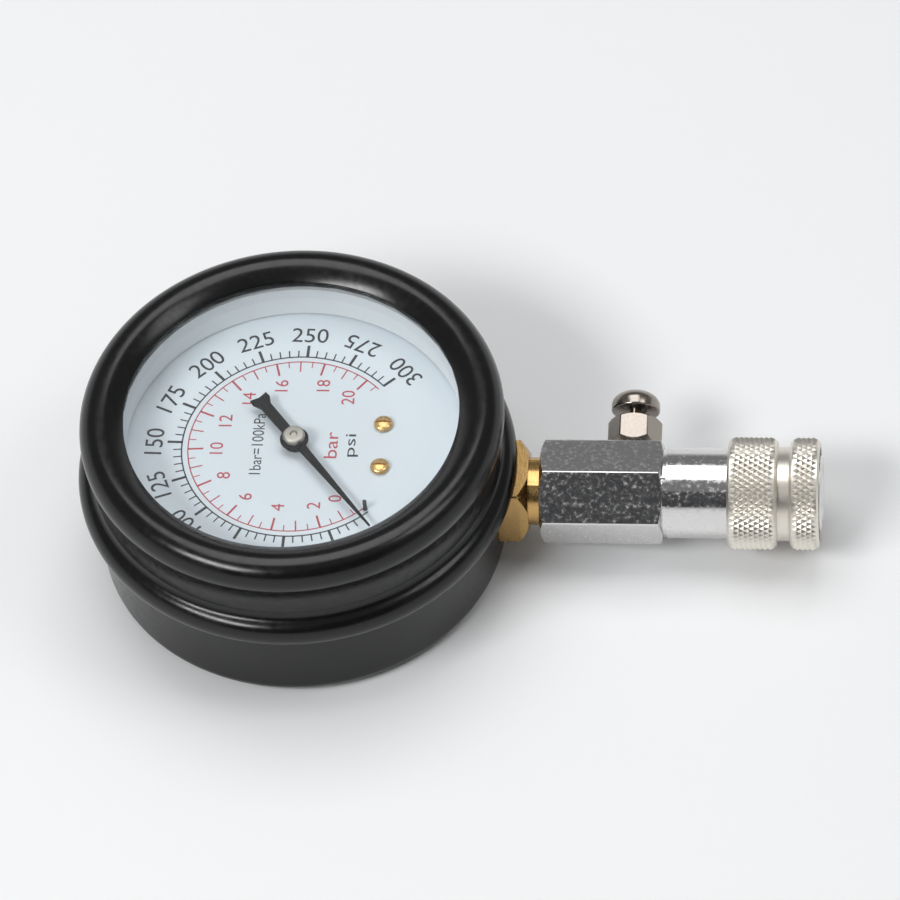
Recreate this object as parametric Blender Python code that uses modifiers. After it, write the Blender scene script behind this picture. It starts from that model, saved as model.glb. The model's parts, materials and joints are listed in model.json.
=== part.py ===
"""Compression tester gauge: a pressure gauge in a rubber boot with a release valve and a quick coupler.

The gauge lies on its back with the dial up (+Z) and its stem towards +X. The origin is on the dial's
axis, at the flat back of the boot. All sizes are in metres and all angles in degrees.
"""

from math import acos, atan2, ceil, cos, degrees, hypot, pi, radians, sin

import bmesh
import bpy
from mathutils import Matrix, Vector

COLLECTION_NAME = "compression_tester_gauge"
CUTTER_COLLECTION_NAME = "cutters"
AXIS_MARK_SIZE = 0.005
MERGE_DISTANCE = 0.000002

# Clearances, and how far cutters and joined solids run past the faces they meet
FIT_GAP = 0.0003
SLIDE_GAP = 0.0002
PIVOT_GAP = 0.0001
EYE_PLAY = 0.0005
RUN_PAST = 0.0010

# Rubber boot: the front bead has the boot's radius, and the case inside follows it
BOOT_RADIUS = 0.0400
BOOT_HEIGHT = 0.0385
BOOT_WALL = 0.0034
BOOT_FLOOR = 0.0022
BOOT_FRONT_BEAD = 0.0040
BOOT_FRONT_PROUD = 0.0014
BOOT_REAR_BEAD = 0.0032
BOOT_REAR_PROUD = 0.0030
BOOT_REAR_BEAD_HEIGHT = 0.0205
BOOT_BASE_ROUND = 0.0030
BOOT_LIP_REACH = 0.0036
BOOT_LIP_EDGE = 0.0006
BOOT_LIP_ROUND = 0.0005
BOOT_LIP_ANGLE = 130.0
BOOT_RIB_SETBACK = 0.0162
BOOT_RIB_WIDTH = 0.0030
BOOT_RIB_HEIGHT = 0.0012

# Case, glazing and dial
CASE_WALL = 0.0008
CASE_CORNER = 0.0030
DIAL_THICKNESS = 0.0005
SPACER_HEIGHT = 0.0070
SPACER_WALL = 0.0008
GASKET_THICKNESS = 0.0010
WINDOW_THICKNESS = 0.0015
WINDOW_EDGE = 0.0003
BEZEL_SHEET = 0.0006
BEZEL_SKIRT = 0.0080
BEZEL_FLANGE = 0.0028

# Stem and its socket
STEM_RISE = 0.0096
SOCKET_SQUARE = 0.0140
SOCKET_SHOW = 0.0012
SOCKET_CHAMFER = 0.0009
SOCKET_CORNER = 1.38
SOCKET_SHANK_ROUND = 0.0010
SOCKET_NECK_SHOW = 0.0022
SOCKET_THREAD_RADIUS = 0.0064
SOCKET_THREAD_LENGTH = 0.0115
SOCKET_THREAD_LEAD = 0.0006
SOCKET_BORE = 0.0015
SOCKET_BLOCK_WIDTH = 0.0160
SOCKET_BLOCK_IN = 0.0034
SOCKET_BLOCK_SETBACK = 0.0030
SOCKET_BLOCK_STEP = 0.0005
LUG_LENGTH = 0.0136
LUG_DROP = 0.0023
LUG_THICKNESS = 0.0050
LUG_STEP = 0.0010

# Bourdon tube
TUBE_INSET = 0.0090
TUBE_WIDTH = 0.0090
TUBE_THICKNESS = 0.0026
TUBE_START_ANGLE = -8.0
TUBE_END_ANGLE = -255.0
TUBE_STEPS = 44
TUBE_POCKET_EARLY = 2.0
TUBE_POCKET_LATE = 30.0
TIP_LENGTH = 0.0040
TIP_WALL = 0.0009
TIP_BEVEL = 0.0004
TIP_PIN_SETBACK = 0.0046
TIP_PIN_ANGLE = 100.0
TIP_TAB_THICKNESS = 0.0012
TIP_TAB_EYE = 0.0019
TIP_TAB_ROOT = 0.0015
TIP_TAB_OVERLAP = 0.0018

# Movement: heights are its own, and its plan is in shares of the tube's radius
PLATE_THICKNESS = 0.0010
PLATE_EDGE = 0.0035
PLATE_SPACING = 0.0083
PLATE_SECTOR_BOSS = 0.0030
PILLAR_RADIUS = 0.0018
PILLAR_SHARES = ((-0.44, -0.20), (0.62, -0.32), (0.66, 0.34))
DIAL_SCREW_SHARE = 0.656
TAIL_ARM_SHARE = 0.184
SECTOR_CENTRE_SHARE = 0.672
PINION_TEETH = 12
SECTOR_TEETH = 72
ADDENDUM = 0.8
DEDENDUM = 1.1
TOOTH_WIDTH = 0.36
TOOTH_SLOPE = 0.364
SECTOR_FACE = 0.0010
SECTOR_RISE = 0.0048
SECTOR_BEARING = 55.0
SECTOR_FIRST_TOOTH = -11
SECTOR_LAST_TOOTH = 1
SECTOR_RIM = 0.0022
SECTOR_RIM_TAPER = 0.92
SECTOR_SPOKE_ANGLE = 12.0
SECTOR_HUB = 0.0026
SECTOR_SLOT_SETBACK = 0.0018
SECTOR_SLOT_RIM = 0.0006
SECTOR_COLLAR_RADIUS = 0.0018
SECTOR_COLLAR_HEIGHT = 0.0010
PINION_FACE = 0.0020
TAIL_REST_ANGLE = 56.0
TAIL_EYE_WALL = 0.0006
LINK_THICKNESS = 0.0008
LINK_EYE = 0.0020
LINK_WAIST = 0.0016
LINK_TAPER = 0.0012
PIN_RADIUS = 0.0006
PIN_TAIL = 0.0004
PIN_HEAD_RADIUS = 0.0011
PIN_HEAD_HEIGHT = 0.0006
PIN_HEAD_CROWN = 0.7
ARBOR_RADIUS = 0.0010
PIVOT_RADIUS = 0.0007
HAIRSPRING_HEIGHT = 0.0005
HAIRSPRING_RIBBON = 0.00025
HAIRSPRING_TURNS = 3.5
HAIRSPRING_OUTER = 0.0064
HAIRSPRING_RISE = 0.0021
HAIRSPRING_STUD_RADIUS = 0.0006
HAIRSPRING_STUD_DROP = 0.0004
COLLET_RADIUS = 0.0016
COLLET_SHOW = 0.0002

# Pointer and its stop
POINTER_ANGLE = -52.5
POINTER_SETBACK = 0.0083
POINTER_TAIL = 0.0128
POINTER_TAIL_NECK = 0.0022
POINTER_TAIL_END = 0.0038
POINTER_TAIL_BARB = 0.0018
POINTER_TAIL_NOTCH = 0.0006
POINTER_TAIL_CORNER = 0.0012
POINTER_TAIL_TAPER = 0.92
POINTER_HUB = 0.0027
POINTER_ARM_WIDTH = 0.0018
POINTER_TIP_WIDTH = 0.0003
POINTER_THICKNESS = 0.0004
POINTER_RISE = 0.0019
POINTER_BOSS_HEIGHT = 0.0012
ARBOR_TAPER = 0.0004
POINTER_CAP_RADIUS = 0.0021
POINTER_CAP_HEIGHT = 0.0012
POINTER_CAP_EDGE = 0.0004
POINTER_CAP_RECESS = 0.0003
POINTER_CAP_DIMPLE = 0.0005
POINTER_CAP_DIMPLE_DEPTH = 0.0002
ZERO_MARK_ANGLE = -46.0
STOP_PIN_SETBACK = 0.0134
STOP_PIN_RADIUS = 0.0004
STOP_PIN_HEIGHT = 0.0024

# Screws
DIAL_SCREW_SPREAD = 0.0051
DIAL_SCREW_HEAD = 0.0018
DIAL_SCREW_HEAD_HEIGHT = 0.0010
DIAL_SCREW_LENGTH = 0.0025
SMALL_SCREW_RADIUS = 0.0009
DIAL_POST_RADIUS = 0.0017
DIAL_POST_LENGTH = 0.0031
DIAL_POST_HOLE = 0.0022
MOVEMENT_SCREW_SETBACK = 0.0030
MOVEMENT_SCREW_SPREAD = 0.0045
CASE_SCREW_SETBACK = 0.0070
CASE_SCREW_SPREAD = 0.0050
SCREW_HEAD_RADIUS = 0.0022
SCREW_HEAD_HEIGHT = 0.0009
SCREW_LENGTH = 0.0035
SCREW_HOLE = 0.0040
SCREW_CROWN = 0.8
SCREW_SHOULDER = 0.6
SLOT_WIDTH = 0.24
SLOT_FLOOR = 0.5

# Coupler body, turned from one hexagon bar
HEX_LENGTH = 0.0233
HEX_FLATS = 0.0173
HEX_CHAMFER = 0.0008
HEX_FACING = 0.0002
HEX_ROLL = 16.0
COUPLER_GROOVE_DEPTH = 0.0003
COUPLER_GROOVE_WIDTH = 0.0006
BARREL_LENGTH = 0.0138
NOSE_RADIUS = 0.0073
NOSE_LENGTH = 0.0161
BARREL_STEP = 0.0013
NOSE_EDGE = 0.0005
NOSE_WALL = 0.0026
NOSE_BORE_DEPTH = 0.0151
NOSE_LEAD = 0.0005
THREAD_LEAD = 0.0006
PASSAGE_RADIUS = 0.0020
SEAL_GROOVE_SETBACK = 0.0020
SEAL_GROOVE_WIDTH = 0.0024
SEAL_GROOVE_DEPTH = 0.0014
SEAL_PROUD = 0.0006
WASHER_THICKNESS = 0.0007

# Knurled sleeve, its balls, spring and ring
SLEEVE_COVER = 0.00165
NOSE_SHOW = 0.0005
SLEEVE_WALL = 0.00175
SLEEVE_GROOVE_DEPTH = 0.00175
SLEEVE_GROOVE_SETBACK = 0.0055
SLEEVE_GROOVE_WIDTH = 0.0025
SLEEVE_EDGE = 0.0004
SLEEVE_LAND_BEFORE_BALL = 0.0025
SLEEVE_RAMP_LENGTH = 0.0014
SLEEVE_LAND_PAST_BALL = 0.0002
SLEEVE_RELIEF = 0.0007
SLEEVE_LIP_SETBACK = 0.0023
SLEEVE_LIP_WIDTH = 0.0007
SLEEVE_MOUTH_GAP = 0.0008
SNAP_RING_WIDTH = 0.0007
SNAP_RING_PROUD = 0.0007
SNAP_RING_SPLIT = 0.0012
SNAP_GROOVE_DEPTH = 0.0006
BALL_RADIUS = 0.0016
BALL_SETBACK = 0.0071
BALL_COUNT = 4
BALL_INSET = 0.00155
BALL_HOLE_INNER = 0.0014
BALL_CAGE_GAP = 0.00025
SLEEVE_SPRING_WIRE = 0.0008
SLEEVE_SPRING_TURNS = 2.25

# Release valve in the side of the hexagon
VALVE_SETBACK = 0.0060
VALVE_BASE_HEIGHT = 0.0015
VALVE_HEX_TOP = 0.00575
VALVE_FLATS = 0.0090
VALVE_EDGE = 0.0005
VALVE_BASE_RADIUS = 0.0040
VALVE_SHANK_RADIUS = 0.0035
VALVE_SHANK_LENGTH = 0.0044
VALVE_SPRING_POCKET = 0.0031
VALVE_POCKET_DEPTH = 0.0020
VALVE_CHAMBER_RADIUS = 0.0029
VALVE_CHAMBER_FLOOR = 0.0005
BUTTON_RADIUS = 0.0046
BUTTON_UNDERSIDE = 0.0076
BUTTON_RIM = 0.0090
BUTTON_TOP = 0.0118
BUTTON_EDGE = 0.0004
BUTTON_STEM = 0.0011
POPPET_RADIUS = 0.0023
POPPET_THICKNESS = 0.0008
VALVE_SEAL_THICKNESS = 0.00045
VALVE_SPRING_WIRE = 0.0005
VALVE_SPRING_TURNS = 2.25

# Smoothness
BOOT_STEPS = 44
CASE_STEPS = 32
COUPLER_STEPS = 30
ROUND = 20
SMALL_ROUND = 10
SPRING_STEPS = 10
HAIRSPRING_STEPS = 14

# Finishes: colour, metallic value and roughness
FINISHES = {
    "rubber": ((0.012, 0.012, 0.013), 0.0, 0.45),
    "sheet_steel": ((0.45, 0.46, 0.47), 1.0, 0.35),
    "black_steel": ((0.015, 0.015, 0.016), 0.4, 0.40),
    "clear_plastic": ((0.90, 0.94, 0.95), 0.0, 0.05),
    "white_plastic": ((0.62, 0.66, 0.70), 0.0, 0.50),
    "white_enamel": ((0.64, 0.70, 0.76), 0.0, 0.45),
    "brass": ((0.72, 0.47, 0.16), 1.0, 0.25),
    "bronze": ((0.55, 0.30, 0.14), 1.0, 0.35),
    "black_enamel": ((0.010, 0.010, 0.011), 0.0, 0.40),
    "chrome": ((0.80, 0.80, 0.80), 1.0, 0.08),
    "satin_nickel": ((0.66, 0.65, 0.62), 1.0, 0.30),
    "bright_steel": ((0.62, 0.62, 0.63), 1.0, 0.22),
    "nitrile": ((0.020, 0.020, 0.020), 0.0, 0.60),
}

# Radii that follow from the boot's
BOOT_SIDE_RADIUS = BOOT_RADIUS - BOOT_FRONT_PROUD
BOOT_REAR_RADIUS = BOOT_SIDE_RADIUS + BOOT_REAR_PROUD
BOOT_INNER_RADIUS = BOOT_SIDE_RADIUS - BOOT_WALL
BOOT_OPENING_RADIUS = BOOT_INNER_RADIUS - BOOT_LIP_REACH
BOOT_RIB_RADIUS = BOOT_INNER_RADIUS - BOOT_RIB_SETBACK
CASE_RADIUS = BOOT_INNER_RADIUS - BEZEL_SHEET - 2 * FIT_GAP
CASE_INNER_RADIUS = CASE_RADIUS - CASE_WALL
TUBE_RADIUS = CASE_RADIUS - TUBE_INSET
TIP_PIN_RADIUS_OUT = TUBE_RADIUS - TIP_PIN_SETBACK
SOCKET_BLOCK_INNER = TUBE_RADIUS - SOCKET_BLOCK_IN
SOCKET_BLOCK_OUTER = CASE_RADIUS - SOCKET_BLOCK_SETBACK
LUG_INNER = SOCKET_BLOCK_INNER - LUG_LENGTH
GEAR_CENTRES = SECTOR_CENTRE_SHARE * TUBE_RADIUS
GEAR_MODULE = 2 * GEAR_CENTRES / (PINION_TEETH + SECTOR_TEETH)
TAIL_ARM = TAIL_ARM_SHARE * TUBE_RADIUS
POINTER_LENGTH = CASE_RADIUS - POINTER_SETBACK
STOP_PIN_RADIUS_OUT = CASE_RADIUS - STOP_PIN_SETBACK
DIAL_ARBOR_HOLE = ARBOR_RADIUS + FIT_GAP

# Heights, stacked from the boot's floor to its lip
CASE_BACK = BOOT_FLOOR + BOOT_RIB_HEIGHT + FIT_GAP
STEM_HEIGHT = CASE_BACK + STEM_RISE
LUG_TOP = STEM_HEIGHT - LUG_DROP
LUG_BOTTOM = LUG_TOP - LUG_THICKNESS
BACK_PLATE_BOTTOM = LUG_TOP + FIT_GAP
BACK_PLATE_TOP = BACK_PLATE_BOTTOM + PLATE_THICKNESS
FRONT_PLATE_BOTTOM = BACK_PLATE_TOP + PLATE_SPACING
FRONT_PLATE_TOP = FRONT_PLATE_BOTTOM + PLATE_THICKNESS
SECTOR_BOTTOM = BACK_PLATE_TOP + SECTOR_RISE
LINK_BOTTOM = SECTOR_BOTTOM - FIT_GAP - LINK_THICKNESS
TIP_TAB_BOTTOM = LINK_BOTTOM - FIT_GAP - TIP_TAB_THICKNESS
HAIRSPRING_LEVEL = SECTOR_BOTTOM + HAIRSPRING_RISE
DIAL_POST_BOTTOM = FRONT_PLATE_TOP + FIT_GAP
DIAL_POST_TOP = DIAL_POST_BOTTOM + DIAL_POST_LENGTH
DIAL_BOTTOM = DIAL_POST_TOP + FIT_GAP
DIAL_TOP = DIAL_BOTTOM + DIAL_THICKNESS
POINTER_LEVEL = DIAL_TOP + POINTER_RISE
SPACER_BOTTOM = DIAL_TOP + FIT_GAP
SPACER_TOP = SPACER_BOTTOM + SPACER_HEIGHT
CASE_TOP = SPACER_TOP - GASKET_THICKNESS - FIT_GAP
WINDOW_BOTTOM = SPACER_TOP + FIT_GAP
WINDOW_TOP = WINDOW_BOTTOM + WINDOW_THICKNESS
BEZEL_TOP = WINDOW_TOP + FIT_GAP + BEZEL_SHEET
BOOT_LIP_UNDERSIDE = BEZEL_TOP + FIT_GAP

# Radii of the coupler that follow from its nose's
NOSE_BORE = NOSE_RADIUS - NOSE_WALL
BALL_ORBIT = NOSE_RADIUS - BALL_INSET
COUPLER_RADIUS = NOSE_RADIUS + BARREL_STEP
SLEEVE_BORE = NOSE_RADIUS + SLIDE_GAP
SLEEVE_SKIRT_BORE = COUPLER_RADIUS + FIT_GAP
SLEEVE_RADIUS = SLEEVE_SKIRT_BORE + SLEEVE_WALL
SLEEVE_GROOVE_RADIUS = SLEEVE_RADIUS - SLEEVE_GROOVE_DEPTH
SNAP_RING_RADIUS = NOSE_RADIUS + SNAP_RING_PROUD
SLEEVE_MOUTH_RADIUS = SNAP_RING_RADIUS + SLEEVE_MOUTH_GAP

# Stations along the stem, from the boot outwards
SOCKET_SQUARE_END = BOOT_REAR_RADIUS + SOCKET_SHOW
SOCKET_NECK_START = SOCKET_SQUARE_END + SOCKET_CHAMFER
SOCKET_END = SOCKET_NECK_START + SOCKET_THREAD_LENGTH
HEX_START = SOCKET_NECK_START + SOCKET_NECK_SHOW
HEX_END = HEX_START + HEX_LENGTH
VALVE_POSITION = HEX_END - VALVE_SETBACK
COUPLER_SHOULDER = HEX_END + BARREL_LENGTH
NOSE_END = COUPLER_SHOULDER + NOSE_LENGTH
NOSE_BORE_START = NOSE_END - NOSE_BORE_DEPTH
SEAL_GROOVE_START = NOSE_BORE_START + SEAL_GROOVE_SETBACK
THREAD_BORE = SOCKET_THREAD_RADIUS + FIT_GAP
THREAD_BORE_END = SOCKET_END + 2 * FIT_GAP + WASHER_THICKNESS
SLEEVE_START = COUPLER_SHOULDER - SLEEVE_COVER
SLEEVE_END = NOSE_END - NOSE_SHOW
SLEEVE_GROOVE_END = SLEEVE_END - SLEEVE_GROOVE_SETBACK
SLEEVE_GROOVE_START = SLEEVE_GROOVE_END - SLEEVE_GROOVE_WIDTH
SLEEVE_LIP_START = SLEEVE_END - SLEEVE_LIP_SETBACK
BALL_POSITION = NOSE_END - BALL_SETBACK
SLEEVE_LAND_START = BALL_POSITION - SLEEVE_LAND_BEFORE_BALL
SNAP_RING_START = SLEEVE_LIP_START + SLEEVE_LIP_WIDTH + FIT_GAP
HEX_FACE = HEX_FLATS / 2


def on_circle(radius, angle):
    """A point of the plane at a radius and an angle in degrees."""
    return Vector((radius * cos(radians(angle)), radius * sin(radians(angle))))


SECTOR_PIVOT = on_circle(GEAR_CENTRES, SECTOR_BEARING)
TAIL_PIN = SECTOR_PIVOT + on_circle(TAIL_ARM, TAIL_REST_ANGLE)
TIP_PIN = on_circle(TIP_PIN_RADIUS_OUT, TIP_PIN_ANGLE)
STOP_PIN = on_circle(STOP_PIN_RADIUS_OUT, ZERO_MARK_ANGLE)
PILLAR_SPOTS = [(x * TUBE_RADIUS, y * TUBE_RADIUS) for x, y in PILLAR_SHARES]
DIAL_SCREWS = [(DIAL_SCREW_SHARE * TUBE_RADIUS, side * DIAL_SCREW_SPREAD) for side in (1, -1)]
MOVEMENT_SCREWS = [(LUG_INNER + MOVEMENT_SCREW_SETBACK, side * MOVEMENT_SCREW_SPREAD) for side in (1, -1)]
CASE_SCREWS = [(CASE_RADIUS - CASE_SCREW_SETBACK, side * CASE_SCREW_SPREAD) for side in (1, -1)]

# The stem's own frame: its local Z runs along +X, and its local X points up
STEM_FRAME = Matrix.Translation((0, 0, STEM_HEIGHT)) @ Matrix.Rotation(radians(90), 4, "Y")
# The valve's frame: its local Z runs out of the hexagon's face, from the stem's axis
VALVE_FRAME = Matrix.Translation((VALVE_POSITION, 0, STEM_HEIGHT)) @ Matrix.Rotation(
    radians(HEX_ROLL - 90), 4, "X"
)


def clear_scene():
    """Remove what the file holds, so that the script can be run again."""
    for item in list(bpy.data.objects):
        bpy.data.objects.remove(item, do_unlink=True)
    for group in (COLLECTION_NAME, CUTTER_COLLECTION_NAME):
        old = bpy.data.collections.get(group)
        if old:
            bpy.data.collections.remove(old)


def new_collection(name):
    """Add a collection to the scene."""
    group = bpy.data.collections.new(name)
    bpy.context.scene.collection.children.link(group)
    return group


def material(finish):
    """The Principled material of a named finish, made once."""
    found = bpy.data.materials.get(finish)
    if found:
        return found
    colour, metallic, roughness = FINISHES[finish]
    made = bpy.data.materials.new(finish)
    made.use_nodes = True
    shader = made.node_tree.nodes["Principled BSDF"]
    shader.inputs["Base Color"].default_value = (*colour, 1.0)
    shader.inputs["Metallic"].default_value = metallic
    shader.inputs["Roughness"].default_value = roughness
    made.diffuse_color = (*colour, 1.0)
    return made


def add_object(name, mesh, place=None, finish=None):
    """Link an object for a mesh: a part when it has a finish, otherwise a cutter."""
    made = bpy.data.objects.new(name, mesh)
    made.matrix_world = place or Matrix.Identity(4)
    if finish:
        bpy.data.collections[COLLECTION_NAME].objects.link(made)
        mesh.materials.append(material(finish))
        mesh.shade_smooth()
        mesh.set_sharp_from_angle(angle=radians(32))
    else:
        bpy.data.collections[CUTTER_COLLECTION_NAME].objects.link(made)
        made.hide_render = True
        made.display_type = "WIRE"
    return made


def turned(name, profile, place=None, finish=None, steps=ROUND, ring=False):
    """Turn a profile of (radius, height) points, listed top to bottom down its outer side."""
    mesh = bpy.data.meshes.new(name)
    edges = [(i, i + 1) for i in range(len(profile) - 1)]
    if ring:
        edges.append((len(profile) - 1, 0))
    mesh.from_pydata([(radius, 0, height) for radius, height in profile], edges, [])
    made = add_object(name, mesh, place, finish)
    screw = made.modifiers.new("turn", "SCREW")
    screw.axis = "Z"
    screw.angle = 2 * pi
    screw.steps = steps
    screw.render_steps = steps
    screw.use_merge_vertices = True
    screw.merge_threshold = MERGE_DISTANCE
    screw.use_smooth_shade = True
    return made


def disc(name, radius, bottom, top, place=None, finish=None, steps=ROUND, edge=0.0):
    """A plain turned disc or pin, with a chamfer on its top edge if it has an edge size."""
    profile = [(0, top), (radius - edge, top)]
    if edge:
        profile.append((radius, top - edge))
    profile += [(radius, bottom), (0, bottom)]
    return turned(name, profile, place, finish, steps)


def collar(name, inner, outer, bottom, top, place=None, finish=None, steps=ROUND):
    """A plain turned ring."""
    profile = [(inner, top), (outer, top), (outer, bottom), (inner, bottom)]
    return turned(name, profile, place, finish, steps, ring=True)


def box_between(name, low, high, finish=None, bevel=0.0):
    """A box from its low and high corners, from the cube primitive."""
    mesh = bpy.data.meshes.new(name)
    cage = bmesh.new()
    bmesh.ops.create_cube(cage, size=1.0)
    size = [b - a for a, b in zip(low, high)]
    centre = [(a + b) / 2 for a, b in zip(low, high)]
    fit = Matrix.Translation(centre) @ Matrix.Diagonal((*size, 1))
    bmesh.ops.transform(cage, matrix=fit, verts=cage.verts)
    cage.to_mesh(mesh)
    cage.free()
    made = add_object(name, mesh, None, finish)
    if bevel:
        round_edges(made, bevel)
    return made


def round_edges(target, width, segments=1):
    """Bevel the sharp edges of an object."""
    bevel = target.modifiers.new("edges", "BEVEL")
    bevel.width = width
    bevel.segments = segments
    bevel.limit_method = "ANGLE"
    bevel.angle_limit = radians(50)


def prism(name, sides, flats, bottom, top, place=None, finish=None, roll=0.0):
    """A regular prism, measured across its flats, whose first flat faces local +X turned by roll."""
    mesh = bpy.data.meshes.new(name)
    cage = bmesh.new()
    across = flats / 2 / cos(pi / sides)
    bmesh.ops.create_cone(
        cage, cap_ends=True, segments=sides, radius1=across, radius2=across, depth=top - bottom
    )
    first_flat = Matrix.Rotation(radians(roll) - pi / 2 - pi / sides, 4, "Z")
    bmesh.ops.transform(
        cage, matrix=Matrix.Translation((0, 0, (bottom + top) / 2)) @ first_flat, verts=cage.verts
    )
    cage.to_mesh(mesh)
    cage.free()
    return add_object(name, mesh, place, finish)


def curve_to_mesh(curve, name, place, finish):
    """Turn a filled or bevelled curve into a closed mesh object."""
    holder = bpy.data.objects.new(name + "_curve", curve)
    bpy.context.scene.collection.objects.link(holder)
    graph = bpy.context.evaluated_depsgraph_get()
    mesh = bpy.data.meshes.new_from_object(holder.evaluated_get(graph))
    mesh.name = name
    cage = bmesh.new()
    cage.from_mesh(mesh)
    bmesh.ops.remove_doubles(cage, verts=cage.verts, dist=MERGE_DISTANCE)
    bmesh.ops.recalc_face_normals(cage, faces=cage.faces)
    cage.to_mesh(mesh)
    cage.free()
    bpy.data.objects.remove(holder, do_unlink=True)
    return add_object(name, mesh, place, finish)


def flat_plate(name, outlines, bottom, thickness, finish=None, place=None):
    """A sheet cut to closed outlines; the outlines after the first are its holes."""
    curve = bpy.data.curves.new(name, "CURVE")
    curve.dimensions = "2D"
    curve.fill_mode = "BOTH"
    curve.extrude = thickness / 2
    for outline in outlines:
        spline = curve.splines.new("POLY")
        spline.points.add(len(outline) - 1)
        for point, (x, y) in zip(spline.points, outline):
            point.co = (x, y, 0, 1)
        spline.use_cyclic_u = True
    level = Matrix.Translation((0, 0, bottom + thickness / 2))
    return curve_to_mesh(curve, name, (place or Matrix.Identity(4)) @ level, finish)


def wire(name, path, radius, place=None, finish=None, resolution=2):
    """A round wire along a list of points, with closed ends."""
    curve = bpy.data.curves.new(name, "CURVE")
    curve.dimensions = "3D"
    curve.bevel_depth = radius
    curve.bevel_resolution = resolution
    curve.use_fill_caps = True
    spline = curve.splines.new("POLY")
    spline.points.add(len(path) - 1)
    for point, place_on_path in zip(spline.points, path):
        point.co = (*place_on_path, 1)
    return curve_to_mesh(curve, name, place or Matrix.Identity(4), finish)


def coil_path(radius, bottom, top, turns):
    """Points of a helix about local Z."""
    count = ceil(turns * SPRING_STEPS)
    steps = [i / count for i in range(count + 1)]
    return [(*on_circle(radius, 360 * turns * t), bottom + (top - bottom) * t) for t in steps]


def circle(centre, radius, steps=SMALL_ROUND):
    """Points round a circle."""
    return [Vector(centre) + on_circle(radius, 360 * i / steps) for i in range(steps)]


def arc(centre, radius, start, end, steps):
    """Points along an arc from one angle to another."""
    return [Vector(centre) + on_circle(radius, start + (end - start) * i / steps) for i in range(steps + 1)]


def belt(bosses, steps=5):
    """The outline of a belt drawn round bosses, given counter-clockwise as (centre, radius)."""
    outline = []
    count = len(bosses)
    for i, (centre, radius) in enumerate(bosses):
        before, after = bosses[i - 1], bosses[(i + 1) % count]
        start = tangent_angle(before, (centre, radius))
        end = tangent_angle((centre, radius), after)
        while end < start:
            end += 360
        outline += arc(centre, radius, start, end, steps)
    return outline


def tangent_angle(first, second):
    """The angle at which the outer tangent of two bosses leaves them, in degrees."""
    (x1, y1), r1 = first
    (x2, y2), r2 = second
    heading = degrees(atan2(y2 - y1, x2 - x1))
    return heading - degrees(acos((r1 - r2) / hypot(x2 - x1, y2 - y1)))


def cut(target, cutter, operation="DIFFERENCE"):
    """Add an exact Boolean with a cutter object."""
    boolean = target.modifiers.new(cutter.name, "BOOLEAN")
    boolean.operation = operation
    boolean.solver = "EXACT"
    boolean.object = cutter
    return boolean


def upright(x, y, z=0.0):
    """A frame at a point, with its Z up."""
    return Matrix.Translation((x, y, z))


def stem_box(name, start, end, square):
    """A square cutter round the stem's axis."""
    half = square / 2
    return box_between(name, (start, -half, STEM_HEIGHT - half), (end, half, STEM_HEIGHT + half))


def empty_at(name, place, parent=None):
    """An empty that marks a joint's axis."""
    made = bpy.data.objects.new(name, None)
    made.empty_display_size = AXIS_MARK_SIZE
    made.matrix_world = place
    bpy.data.collections[COLLECTION_NAME].objects.link(made)
    if parent:
        hang(made, parent)
    return made


def hang(child, parent):
    """Parent an object and keep it where it is."""
    bpy.context.view_layer.update()
    child.parent = parent
    child.matrix_parent_inverse = parent.matrix_world.inverted()


def bead(centre, radius, start, end, steps):
    """Points of (radius, height) round a moulded bead, from one angle to another."""
    return [tuple(point) for point in arc(centre, radius, start, end, steps)]


def build_boot():
    """The moulded boot: a cup with two beads and a lip over the bezel, open for the stem."""
    front = (BOOT_RADIUS - BOOT_FRONT_BEAD, BOOT_HEIGHT - BOOT_FRONT_BEAD)
    rear = (BOOT_REAR_RADIUS - BOOT_REAR_BEAD, BOOT_REAR_BEAD_HEIGHT)
    base = (BOOT_SIDE_RADIUS - BOOT_BASE_ROUND, BOOT_BASE_ROUND)
    front_meet = degrees(acos(1 - BOOT_FRONT_PROUD / BOOT_FRONT_BEAD))
    rear_meet = degrees(acos(1 - BOOT_REAR_PROUD / BOOT_REAR_BEAD))
    rib_top = BOOT_FLOOR + BOOT_RIB_HEIGHT
    lip_edge = BOOT_LIP_UNDERSIDE + BOOT_LIP_EDGE
    profile = [
        (0, BOOT_FLOOR),
        (BOOT_RIB_RADIUS, BOOT_FLOOR),
        (BOOT_RIB_RADIUS, rib_top),
        (BOOT_RIB_RADIUS + BOOT_RIB_WIDTH, rib_top),
        (BOOT_RIB_RADIUS + BOOT_RIB_WIDTH, BOOT_FLOOR),
        (BOOT_INNER_RADIUS, BOOT_FLOOR),
        (BOOT_INNER_RADIUS, BOOT_LIP_UNDERSIDE),
        (BOOT_OPENING_RADIUS, BOOT_LIP_UNDERSIDE),
        (BOOT_OPENING_RADIUS, lip_edge),
        (BOOT_OPENING_RADIUS + BOOT_LIP_ROUND, lip_edge + BOOT_LIP_ROUND),
    ]
    profile += bead(front, BOOT_FRONT_BEAD, BOOT_LIP_ANGLE, -front_meet, 10)
    profile += bead(rear, BOOT_REAR_BEAD, rear_meet, -rear_meet, 6)
    profile += bead(base, BOOT_BASE_ROUND, 0, -90, 3)
    profile.append((0, 0))
    boot = turned("rubber_boot", profile, None, "rubber", BOOT_STEPS)
    inside = BOOT_INNER_RADIUS - 5 * RUN_PAST
    outlet = stem_box("boot_outlet", inside, BOOT_REAR_RADIUS + RUN_PAST, SOCKET_SQUARE + 2 * FIT_GAP)
    cut(boot, outlet)


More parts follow.
